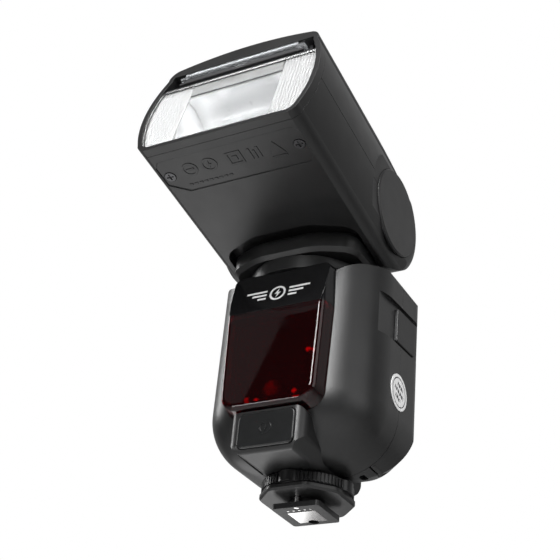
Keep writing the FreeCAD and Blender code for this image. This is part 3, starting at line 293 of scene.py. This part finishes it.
def board():
    """Solder mask with faint tracks."""
    m = Nodes("solder_mask")
    tracks = m.add("ShaderNodeTexBrick")
    tracks.inputs["Scale"].default_value = 260
    tracks.inputs["Color1"].default_value = (0.01, 0.09, 0.035, 1)
    tracks.inputs["Color2"].default_value = (0.012, 0.12, 0.045, 1)
    tracks.inputs["Mortar"].default_value = (0.05, 0.26, 0.1, 1)
    tracks.inputs["Mortar Size"].default_value = 0.012
    m.link(m.place(), tracks.inputs["Vector"])
    m.link(tracks.outputs["Color"], m.shader.inputs["Base Color"])
    m.link(m.span(m.noise(300), 0.25, 0.4), m.shader.inputs["Roughness"])
    m.bump(tracks.outputs["Fac"], 0.03, 0.5)
    return m.material


def wrap(name, colour, band):
    """Printed plastic sleeve with a coloured band at one end of each cell."""
    m = Nodes(name)
    split = m.add("ShaderNodeSeparateXYZ")
    m.link(m.place(), split.inputs["Vector"])
    along = m.span(split.outputs["X"], 0, 1)
    along.node.inputs["From Min"].default_value = SLEEVE_X[0]
    along.node.inputs["From Max"].default_value = SLEEVE_X[1]
    m.link(m.ramp(along, [(0.0, band), (0.3, band), (0.32, colour), (1.0, colour)]),
           m.shader.inputs["Base Color"])
    m.link(m.span(m.noise(200), 0.15, 0.3), m.shader.inputs["Roughness"])
    m.bump(m.noise(150), 0.02, 0.3)
    return m.material


def reflector_plate():
    """Plated trough painted bright with soft grey blobs, a painted reflection of the room; soft dents
    as bumps.
    """
    m = Nodes("plated_reflector")
    # Painted reflection: near-white diffuse colour with grey blobs stands in for the room mirrored in
    # the plating.
    m.link(m.ramp(m.noise(38, 2), [(0.38, 0.52), (0.52, 0.88)]), m.shader.inputs["Base Color"])
    m.link(m.span(m.noise(200), 0.24, 0.34), m.shader.inputs["Roughness"])
    m.set(Metallic=0.1)
    m.bump(m.noise(60, 1), 0.3, 0.35)
    return m.material


def display_cover():
    """Gloss cover, black round the edge, over a switched-off grey-green display."""
    m = Nodes("display_cover")
    low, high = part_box("lcd_cover")
    across, upright = m.along((1, 0, 0)), m.along((0, 0, 1))
    edge = 3.2
    window = m.math("MULTIPLY", m.inside(across, low.x / MM + edge, high.x / MM - edge),
                    m.inside(upright, low.z / MM + edge, high.z / MM - edge))
    rows = m.math("FRACT", m.math("MULTIPLY", upright, 2.0))
    screen = m.ramp(rows, [(0.0, (0.030, 0.036, 0.028)), (0.5, (0.040, 0.047, 0.037))])
    m.link(m.mix(window, (0.006, 0.006, 0.0065), screen), m.shader.inputs["Base Color"])
    m.link(m.ramp(m.noise(90, 5, 0.7), [(0.45, 0.05), (0.75, 0.12)]), m.shader.inputs["Roughness"])
    m.bump(m.noise(60, 1), 0.02, 0.3, 0.2)
    return m.material


def seal_paper():
    """White seal with a dark ring and plain bars where a real one has lettering."""
    m = Nodes("seal_paper")
    low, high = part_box("seal_front")[0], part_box("seal_rear")[1]
    centre = tuple((low + high) / 2)
    across, upright = m.along((0, 0.94, -0.34), centre), m.along((0, 0.34, 0.94), centre)
    radius = m.math("SQRT", m.math("ADD", m.math("MULTIPLY", across, across),
                                   m.math("MULTIPLY", upright, upright)))
    ink = m.inside(radius, 5.35, 5.8)
    for level, half in ((2.6, 2.4), (0.0, 3.9), (-2.6, 2.2)):
        row = m.math("MULTIPLY", m.inside(upright, level - 0.75, level + 0.75),
                     m.inside(across, -half, half))
        gaps = m.math("GREATER_THAN", m.math("FRACT", m.math("MULTIPLY", across, 0.62)), 0.24)
        ink = m.math("MAXIMUM", ink, m.math("MULTIPLY", row, gaps))
    paper = m.ramp(m.noise(500, 3), [(0.3, 0.88), (0.7, 0.94)])
    m.link(m.mix(ink, paper, (0.05, 0.05, 0.055)), m.shader.inputs["Base Color"])
    m.set(Roughness=0.35)
    m.bump(m.noise(1200, 2), 0.004, 0.5)
    return m.material


def bounce_card():
    """White card whose grip bar along the front edge is dark grey."""
    m = Nodes("bounce_card")
    grip = m.math("GREATER_THAN", m.along(tuple(PULL), tuple(PIVOT)), GRIP_START)
    card = m.ramp(m.noise(400, 3), [(0.3, 0.78), (0.7, 0.85)])
    m.link(m.mix(grip, card, (0.040, 0.040, 0.042)), m.shader.inputs["Base Color"])
    m.set(Roughness=0.38)
    m.bump(m.noise(1800, 2), 0.01, 0.5, 0.15)
    return m.material


CASING = plastic("satin_casing", (0.0095, 0.0095, 0.0098), (0.0135, 0.0136, 0.0138), 0.36)
CASING_HEAD = plastic("satin_head", (0.0105, 0.0105, 0.0107), (0.0145, 0.0145, 0.0148),
                      0.40, grain=2200, depth=0.014)
DARK = plastic("dark_moulding", (0.006, 0.006, 0.0065), (0.010, 0.010, 0.0105), 0.42)
WHEEL = plastic("wheel_moulding", (0.007, 0.007, 0.0075), (0.012, 0.012, 0.0125),
                0.34, depth=0.01, edge=0.15)
PANEL = gloss("gloss_panel", (0.006, 0.006, 0.0065), 0.08)
DISPLAY = display_cover()
COVER = rubber("cover_rubber", (0.005, 0.0055, 0.0058))
KEYS = rubber("key_rubber", (0.020, 0.0205, 0.0215))
STEEL = metal("brushed_steel", (0.55, 0.55, 0.56), 0.3, stretch=(1, 8, 1))
POLISHED = metal("polished_steel", (0.86, 0.85, 0.84), 0.12, stretch=(1, 6, 1), scratch=0.002)
SCREW = metal("screw_steel", (0.09, 0.09, 0.093), 0.34)
BRASS = metal("plated_spring", (0.75, 0.62, 0.32), 0.25)
MIRROR = reflector_plate()
WINDOW = red_window()
LENS = clear_plastic("clear_lens")
TUBE = clear_plastic("tube_glass", (0.93, 0.96, 1.0), rough=0.02)
WIDE = clear_plastic("wide_panel_clear", (0.90, 0.92, 0.94), rough=0.06, weight=0.93)
# The glow strengths below are painted glow, not lit lamps.
LAMPS = lamp_red("lamp_red", "status_lamps", painted_glow=3.0)
EYE = lamp_red("sensor_red", "light_sensor", painted_glow=4.0)
ASSIST = lamp_red("assist_red", "assist_lens", painted_glow=0.45, depth=2.2)
TRAY = plastic("tray_dark", (0.004, 0.002, 0.002), (0.007, 0.003, 0.003), 0.35)
WHITE = plastic("white_card", (0.80, 0.80, 0.78), (0.86, 0.86, 0.84), 0.5, grain=1800, depth=0.01)
PAPER = seal_paper()
CARD = bounce_card()
BOARD = board()
CELL = wrap("cell_wrap", (0.35, 0.37, 0.40), (0.75, 0.36, 0.05))
SLEEVE = gloss("capacitor_sleeve", (0.02, 0.02, 0.025), 0.2)

FINISHES = {
    "body_front_shell": CASING, "body_rear_shell": CASING, "battery_door": CASING,
    "door_tab": DARK, "front_panel": PANEL, "af_window": WINDOW, "lamp_tray": TRAY,
    "assist_lens": ASSIST, "status_lamps": LAMPS, "light_sensor": EYE, "foot_block": DARK,
    "foot_contacts": POLISHED, "body_screws": SCREW, "door_pin": STEEL, "battery_tray": DARK,
    "battery_cells": CELL, "tray_contacts": BRASS, "door_contacts": BRASS,
    "main_capacitor": SLEEVE, "power_board": BOARD, "main_board": BOARD, "lcd_cover": DISPLAY,
    "power_socket": DARK, "side_sockets": STEEL, "seal_front": PAPER, "seal_rear": PAPER,
    "turntable": CASING, "neck_yoke": CASING, "swivel_clip": STEEL, "tilt_axle": STEEL,
    "head_upper_shell": CASING_HEAD, "head_lower_shell": CASING_HEAD, "head_bezel": CASING_HEAD,
    "head_lens": LENS, "zoom_motor": STEEL, "guide_rod": POLISHED, "panel_rail": DARK,
    "pivot_caps": CASING_HEAD, "head_screws": SCREW, "zoom_carriage": WHITE, "reflector": MIRROR,
    "flash_tube": TUBE, "zoom_screw": STEEL, "wide_panel": WIDE, "bounce_card": CARD,
    "lock_wheel": WHEEL, "lock_plate": CASING, "lock_pin": POLISHED,
    "power_socket_cover": COVER, "side_cover": COVER, "key_left": KEYS, "key_mid_left": KEYS,
    "key_mid_right": KEYS, "key_right": KEYS, "mode_button": KEYS, "test_button": KEYS,
    "set_button": KEYS, "select_dial": DARK, "power_switch": DARK,
}
for name, finish in FINISHES.items():
    mesh = frame["nodes"][name].data
    mesh.materials.clear()
    mesh.materials.append(finish)


# ---- pieces beyond the CAD frame ------------------------------------------------------------
def piece(name, mesh, body, material):
    """Object that rides on a body, with its finish."""
    obj = bpy.data.objects.new(name, mesh)
    bpy.context.scene.collection.objects.link(obj)
    mesh.materials.append(material)
    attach(obj, body)


def arc_through(p, q, s):
    """Centre and radius of the circle through three points."""
    ax, ay, bx, by, cx, cy = *p, *q, *s
    d = 2 * (ax * (by - cy) + bx * (cy - ay) + cx * (ay - by))
    ux = ((ax * ax + ay * ay) * (by - cy) + (bx * bx + by * by) * (cy - ay)
          + (cx * cx + cy * cy) * (ay - by)) / d
    uy = ((ax * ax + ay * ay) * (cx - bx) + (bx * bx + by * by) * (ax - cx)
          + (cx * cx + cy * cy) * (bx - ax)) / d
    return ux, uy, math.hypot(ax - ux, ay - uy)


# The front of the head in mm: half widths from the middle, heights above the tilt axis, and
# distances forward of it.
CORNER_HALF, CORNER_UP = 31.1, -17.4           # where the opening's lower corner starts to round
SIDE_ARC = arc_through((CORNER_HALF, CORNER_UP), (34.4, -1.5), (30.2, 21.6))
CORNER_IN, CORNER_DROP, CORNER_CURVE = 1.9, 2.2, 1.6
LENS_LOW, LENS_HIGH = -19.4, 14.9
HEAD_LOW, HEAD_HIGH = -21.6, 30.6
FRONT_LOW, FRONT_HIGH = 77.2, 72.1             # front edge at the head's bottom and top
FRONT_LEAN = (FRONT_LOW - FRONT_HIGH) / (HEAD_HIGH - HEAD_LOW)
RIB_DEPTH = 3.1                                # ribs' roots behind the slanted front
SHEET_THICK = 0.35
SHEET_MARGIN = 0.5                             # gap to the opening's edge


def opening_half(up):
    """Half width of the bezel's opening at a height above the tilt axis."""
    if up > CORNER_UP:
        return SIDE_ARC[0] + math.sqrt(SIDE_ARC[2] ** 2 - (up - SIDE_ARC[1]) ** 2)
    return CORNER_HALF - CORNER_IN * ((CORNER_UP - up) / CORNER_DROP) ** CORNER_CURVE


def front_at(up, depth):
    """Distance forward of the tilt axis, this deep behind the slanted front."""
    return FRONT_LOW - (up - HEAD_LOW) * FRONT_LEAN - depth


def rim(grid):
    """Points round the edge of a grid, in order."""
    across, up = len(grid[0]) - 1, len(grid) - 1
    return ([grid[0][i] for i in range(across)] + [grid[j][-1] for j in range(up)]
            + [grid[-1][i] for i in range(across, 0, -1)] + [grid[j][0] for j in range(up, 0, -1)])


def ribbed_sheet(name, x_span, up_span, upright, pitch, height, material):
    """Closed sheet behind the lens with upright or level prism ribs; its edge follows the opening."""
    mesh_data = bmesh.new()
    steps_x = 2 * round((x_span[1] - x_span[0]) / pitch) if upright else 16
    steps_up = 24 if upright else 2 * round((up_span[1] - up_span[0]) / pitch)
    grids = []
    for back in (0, 1):
        rows = []
        for j in range(steps_up + 1):
            up = up_span[0] + (up_span[1] - up_span[0]) * j / steps_up
            limit = opening_half(up) - SHEET_MARGIN
            row = []
            for i in range(steps_x + 1):
                x = x_span[0] + (x_span[1] - x_span[0]) * i / steps_x
                x = max(-limit, min(limit, x))
                ridge = (i if upright else j) % 2 * height
                forward = front_at(up, RIB_DEPTH) + (-SHEET_THICK if back else ridge)
                row.append(mesh_data.verts.new(in_head(x, forward, up)))
            rows.append(row)
        grids.append(rows)
    front, rear = grids
    for j in range(steps_up):
        for i in range(steps_x):
            mesh_data.faces.new((front[j][i], front[j][i + 1], front[j + 1][i + 1], front[j + 1][i]))
            mesh_data.faces.new((rear[j][i], rear[j + 1][i], rear[j + 1][i + 1], rear[j][i + 1]))
    front_rim, rear_rim = rim(front), rim(rear)
    for k in range(len(front_rim)):
        n = (k + 1) % len(front_rim)
        mesh_data.faces.new((front_rim[k], rear_rim[k], rear_rim[n], front_rim[n]))
    bmesh.ops.remove_doubles(mesh_data, verts=mesh_data.verts, dist=0.00002)
    bmesh.ops.recalc_face_normals(mesh_data, faces=mesh_data.faces)
    mesh = bpy.data.meshes.new(name)
    mesh_data.to_mesh(mesh)
    mesh_data.free()
    piece(name, mesh, "head", material)


def frosted():
    """Milky clear plastic of the ribs."""
    m = Nodes("ribbed_clear")
    m.set(Base_Color=(0.38, 0.38, 0.377, 1), Transmission_Weight=0.3, IOR=1.49)
    m.link(m.span(m.noise(400, 3), 0.12, 0.25), m.shader.inputs["Roughness"])
    m.bump(m.noise(700, 2), 0.02, 0.3)
    m.lets_light_through((0.6, 0.6, 0.6))
    return m.material


def build_lens_ribs():
    """Fine upright ribs at both sides of the lens, level ones along its top and bottom."""
    clear = frosted()
    middle, edge = 19.6, 35.0
    full = (LENS_LOW, LENS_HIGH)
    inner = (-middle + 0.3, middle - 0.3)
    top, bottom = (9.6, LENS_HIGH), (LENS_LOW, -16.4)
    ribbed_sheet("lens_ribs_left", (-edge, -middle), full, True, 1.3, 0.6, clear)
    ribbed_sheet("lens_ribs_right", (middle, edge), full, True, 1.3, 0.6, clear)
    ribbed_sheet("lens_ribs_top", inner, top, False, 0.9, 0.4, clear)
    ribbed_sheet("lens_ribs_bottom", inner, bottom, False, 0.7, 0.25, clear)


def extrude_outline(outline, place, thick):
    """Points and faces of a solid from a flat outline; place maps (p, q, depth) to the scene."""
    count = len(outline)
    verts = [place(p, q, 0) for p, q in outline] + [place(p, q, thick) for p, q in outline]
    faces = [tuple(range(count)), tuple(range(2 * count - 1, count - 1, -1))]
    faces += [(i, i + count, (i + 1) % count + count, (i + 1) % count) for i in range(count)]
    return verts, faces


def shapes_mesh(name, outlines, place, thick):
    """One mesh of several raised outlines."""
    verts, faces = [], []
    for outline in outlines:
        v, f = extrude_outline(outline, place, thick)
        faces += [tuple(k + len(verts) for k in face) for face in f]
        verts += v
    mesh = bpy.data.meshes.new(name)
    mesh.from_pydata(verts, [], faces)
    cleaned = bmesh.new()
    cleaned.from_mesh(mesh)
    bmesh.ops.recalc_face_normals(cleaned, faces=cleaned.faces)
    cleaned.to_mesh(mesh)
    cleaned.free()
    return mesh


def bar(p0, p1, q0, q1):
    """Outline of a rectangle."""
    return [(p0, q0), (p1, q0), (p1, q1), (p0, q1)]


def bolt(p, q, size):
    """Plain lightning bolt, the usual sign for a flash."""
    points = [(0.10, 0.5), (-0.28, -0.06), (-0.02, -0.06), (-0.12, -0.5), (0.28, 0.10), (0.02, 0.10)]
    return [(p + a * size, q + b * size) for a, b in points]


def ring_parts(p, q, outer, inner, count=48):
    """Ring as two half outlines, so that each is a simple closed shape."""
    halves = []
    for start in (0, math.pi):
        turn = [start + math.pi * k / (count // 2) for k in range(count // 2 + 1)]
        halves.append([(p + outer * math.cos(t), q + outer * math.sin(t)) for t in turn]
                      + [(p + inner * math.cos(t), q + inner * math.sin(t)) for t in reversed(turn)])
    return halves


def print_white():
    """Ink of the printed signs."""
    m = Nodes("print_white")
    m.link(m.ramp(m.noise(600, 3), [(0.3, 0.74), (0.7, 0.84)]), m.shader.inputs["Base Color"])
    m.set(Roughness=0.4)
    m.bump(m.noise(1500, 2), 0.005, 0.4)
    return m.material


def raised(name, outlines, place, thick, body, material):
    """Signs of one thickness as a piece of its own."""
    piece(name, shapes_mesh(name, outlines, place, thick), body, material)


def frame_parts(p0, p1, q0, q1, wide):
    """Hollow rectangle as four bars."""
    return [bar(p0, p1, q0, q0 + wide), bar(p0, p1, q1 - wide, q1),
            bar(p0, p0 + wide, q0 + wide, q1 - wide), bar(p1 - wide, p1, q0 + wide, q1 - wide)]


def build_panel_mark():
    """White generic mark on the panel's sloping front: a bolt in a ring, three bars on each side."""
    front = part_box("af_window")[0].y
    mid, sunk = 72.9, 0.02
    slope_start, slope = 66.0, 0.2258
    bar_start, bar_pitch, bar_half = 4.6, 1.7, 0.42

    def place(p, q, depth):
        back = (q - slope_start) * slope + sunk - depth
        return Vector((p * MM, front + back * MM, q * MM))
    shapes = ring_parts(0, mid, 3.3, 2.5) + [bolt(0, mid, 4.4)]
    for side in (-1, 1):
        for k, length in enumerate((8.5, 6.0, 3.5)):
            q = mid + bar_pitch - bar_pitch * k
            start, end = sorted((side * bar_start, side * (bar_start + length)))
            shapes.append(bar(start, end, q - bar_half, q + bar_half))
    raised("panel_mark", shapes, place, 0.06, "body", print_white())


def build_head_marks():
    """Low raised signs in the field under the head, generic shapes only."""
    field = -21.25                     # height of the field's face, above the tilt axis
    row, small_row = 63.4, 56.0        # distances forward of the tilt axis
    ring_a, ring_b = -17.5, -9.3

    def place(p, q, depth):
        return in_head(p, q, field - depth)
    shapes = ring_parts(ring_a, row, 3.1, 2.3, 32)
    shapes += [bar(ring_a - 1.7, ring_a + 1.7, row - 0.35, row + 0.35)]
    shapes += ring_parts(ring_b, row, 3.1, 2.3, 32) + [bolt(ring_b, row, 3.6)]
    shapes += frame_parts(-1.6, 4.4, row - 3, row + 3, 0.8) + [bar(0.4, 2.4, row - 1, row + 1)]
    for k in range(3):
        start = 7.2 + 1.7 * k
        shapes.append(bar(start, start + 0.9, row - 2.6, row + 2.6 - 1.2 * (k % 2)))
    shapes += [[(14.8, row - 3), (20.6, row - 3), (17.7, row + 3)]]
    shapes += [bar(14.8, 20.6, row - 4.6, row - 3.8)]
    for k in range(9):
        start = -21.5 + 2.1 * k
        shapes.append(bar(start, start + 1.4, small_row, small_row + 0.8))
    raised("head_marks", shapes, place, 0.18, "head", CASING_HEAD)


def build_cover_mark():
    """Raised bolt in a ring on the front socket's rubber cover."""
    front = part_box("power_socket_cover")[0].y

    def place(p, q, depth):
        return Vector((p * MM, front + (0.05 - depth) * MM, q * MM))
    mid_x, mid_z = 0.5, 19.2
    shapes = ring_parts(mid_x, mid_z, 2.4, 1.9, 32) + [bolt(mid_x, mid_z, 2.6)]
    raised("cover_mark", shapes, place, 0.2, "power_socket_cover", COVER)


def build_rear_marks():
    """White printed signs on keys, buttons and ring, which ride along, and by the power switch."""
    thick, sunk = 0.05, 0.02
    ink = print_white()
    signs = {
        "key_left": [bar(-1.6, 1.6, -0.25, 0.25)],
        "key_mid_left": [bar(-1.6, 1.6, 0.35, 0.75), bar(-1.6, 1.6, -0.75, -0.35)],
        "key_mid_right": frame_parts(-1.5, 1.5, -0.9, 0.9, 0.35),
        "key_right": ring_parts(0, 0, 1.0, 0.65, 24),
        "mode_button": [bar(-1.4, -0.5, -1.2, 1.2), bar(0.5, 1.4, -1.2, 1.2)],
        "test_button": [bolt(0, 0, 3.6)],
        "set_button": ring_parts(0, 0, 2.0, 1.55, 32),
        "select_dial": [[(0, 9.0), (-1.0, 7.4), (1.0, 7.4)], [(0, -9.0), (1.0, -7.4), (-1.0, -7.4)],
                        [(9.0, 0), (7.4, 1.0), (7.4, -1.0)], [(-9.0, 0), (-7.4, -1.0), (-7.4, 1.0)]],
    }
    for name, outlines in signs.items():
        low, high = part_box(name)
        mid = (low + high) / 2

        def place(p, q, depth, mid=mid, face=high.y):
            return Vector((mid.x + p * MM, face + (depth - sunk) * MM, mid.z + q * MM))
        raised(name + "_sign", outlines, place, thick, name, ink)
    switch_z, switch_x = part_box("power_switch")[0].z / MM + 2, 18.0
    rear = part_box("body_rear_shell")[1].y

    def on_rear(p, q, depth):
        return Vector(((switch_x + p) * MM, rear + (depth - sunk) * MM, (switch_z + q) * MM))
    signs = [bar(6.3, 6.8, -1.0, 1.0)] + ring_parts(-7.0, 0, 1.0, 0.65, 24)
    raised("switch_sign", signs, on_rear, thick, "body", ink)


# ---- stage ------------------------------------------------------------------------------------
def build_floor():
    """Plain pale floor well below the camera, which looks up at the flash."""
    half, level = 3.0, -0.42
    mesh = bpy.data.meshes.new("floor")
    corners = [(-half, -half, level), (half, -half, level), (half, half, level), (-half, half, level)]
    mesh.from_pydata(corners, [], [(0, 1, 2, 3)])
    floor = bpy.data.objects.new("floor", mesh)
    bpy.context.scene.collection.objects.link(floor)
    m = Nodes("pale_floor")
    m.link(m.ramp(m.noise(3, 2), [(0.3, 0.62), (0.7, 0.66)]), m.shader.inputs["Base Color"])
    m.set(Roughness=0.8)
    mesh.materials.append(m.material)
    floor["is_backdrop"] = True


def rectangle_light(name, size, power):
    """Rectangular soft light; size in m and power in watts."""
    light = bpy.data.lights.new(name, "AREA")
    light.shape = "RECTANGLE"
    light.size, light.size_y = size
    light.energy = power
    lamp = bpy.data.objects.new(name, light)
    bpy.context.scene.collection.objects.link(lamp)
    return lamp


def aimed_light(name, direction, distance, size, power):
    """Soft light that faces the flash from a direction."""
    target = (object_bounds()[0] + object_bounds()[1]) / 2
    place = target + Vector(direction).normalized() * distance
    lamp = rectangle_light(name, size, power)
    lamp.location = place
    lamp.rotation_euler = (target - place).to_track_quat("-Z", "Y").to_euler()


def build_world():
    """White backdrop for the camera; the room that lights the flash is pale behind, dim in front."""
    world = bpy.data.worlds.new("studio")
    bpy.context.scene.world = world
    world.use_nodes = True
    tree = world.node_tree

    def add(kind, **values):
        node = tree.nodes.new(kind)
        for key, value in values.items():
            setattr(node, key, value)
        return node
    room = tree.nodes["Background"]
    room.inputs["Color"].default_value = (1, 1, 1, 1)
    split = add("ShaderNodeSeparateXYZ")
    tree.links.new(add("ShaderNodeTexCoord").outputs["Generated"], split.inputs["Vector"])
    shade = add("ShaderNodeMapRange", interpolation_type="SMOOTHSTEP")
    limits = {"From Min": 0.0, "From Max": 0.8, "To Min": ROOM_FRONT, "To Max": ROOM_BACK}
    for key, value in limits.items():
        shade.inputs[key].default_value = value
    tree.links.new(split.outputs["Y"], shade.inputs["Value"])
    tree.links.new(shade.outputs["Result"], room.inputs["Strength"])
    white = add("ShaderNodeBackground")
    white.inputs["Color"].default_value = (1, 1, 1, 1)
    path = add("ShaderNodeLightPath")
    mix = add("ShaderNodeMixShader")
    tree.links.new(path.outputs["Is Camera Ray"], mix.inputs["Fac"])
    tree.links.new(room.outputs["Background"], mix.inputs[1])
    tree.links.new(white.outputs["Background"], mix.inputs[2])
    tree.links.new(mix.outputs["Shader"], tree.nodes["World Output"].inputs["Surface"])


def build_lights():
    """Lights of the studio: name, direction from the flash, distance in m, size, power."""
    aimed_light("key_softbox", (0.25, -0.62, 0.74), 0.9, (0.36, 0.46), 11)
    aimed_light("front_strip", (0.17, -0.87, 0.46), 0.9, (0.26, 0.50), 6.5)
    aimed_light("low_front", (-0.45, -0.80, -0.30), 0.9, (0.34, 0.10), 1.1)
    aimed_light("left_side", (-0.88, 0.05, 0.45), 0.9, (0.2, 0.5), 2.5)
    aimed_light("back_left_low", (-0.52, 0.53, -0.67), 0.48, (0.28, 0.28), 0.42)
    aimed_light("right_fill", (0.93, -0.28, 0.2), 0.9, (0.6, 0.6), 1.6)
    # A tilted card whose reflection crosses the red window.
    card = rectangle_light("side_card", (0.30, 0.60), 0.11)
    card.location = (-0.72, -1.0, 0.707)
    card.rotation_euler = (math.pi / 2, math.radians(24), 0)


def build_camera():
    """Camera in front of the flash on its +X side, below it and looking up."""
    data = bpy.data.cameras.new("camera")
    data.lens = 77.13
    data.sensor_width = 36
    camera = bpy.data.objects.new("camera", data)
    bpy.context.scene.collection.objects.link(camera)
    camera.location = (0.19623, -0.35925, -0.14841)
    camera.rotation_euler = (2.1123, -0.0864, 0.4911)
    bpy.context.scene.camera = camera


build_lens_ribs()
build_panel_mark()
build_head_marks()
build_cover_mark()
build_rear_marks()
build_floor()
build_world()
build_lights()
build_camera()
bpy.context.scene.view_settings.view_transform = "Standard"
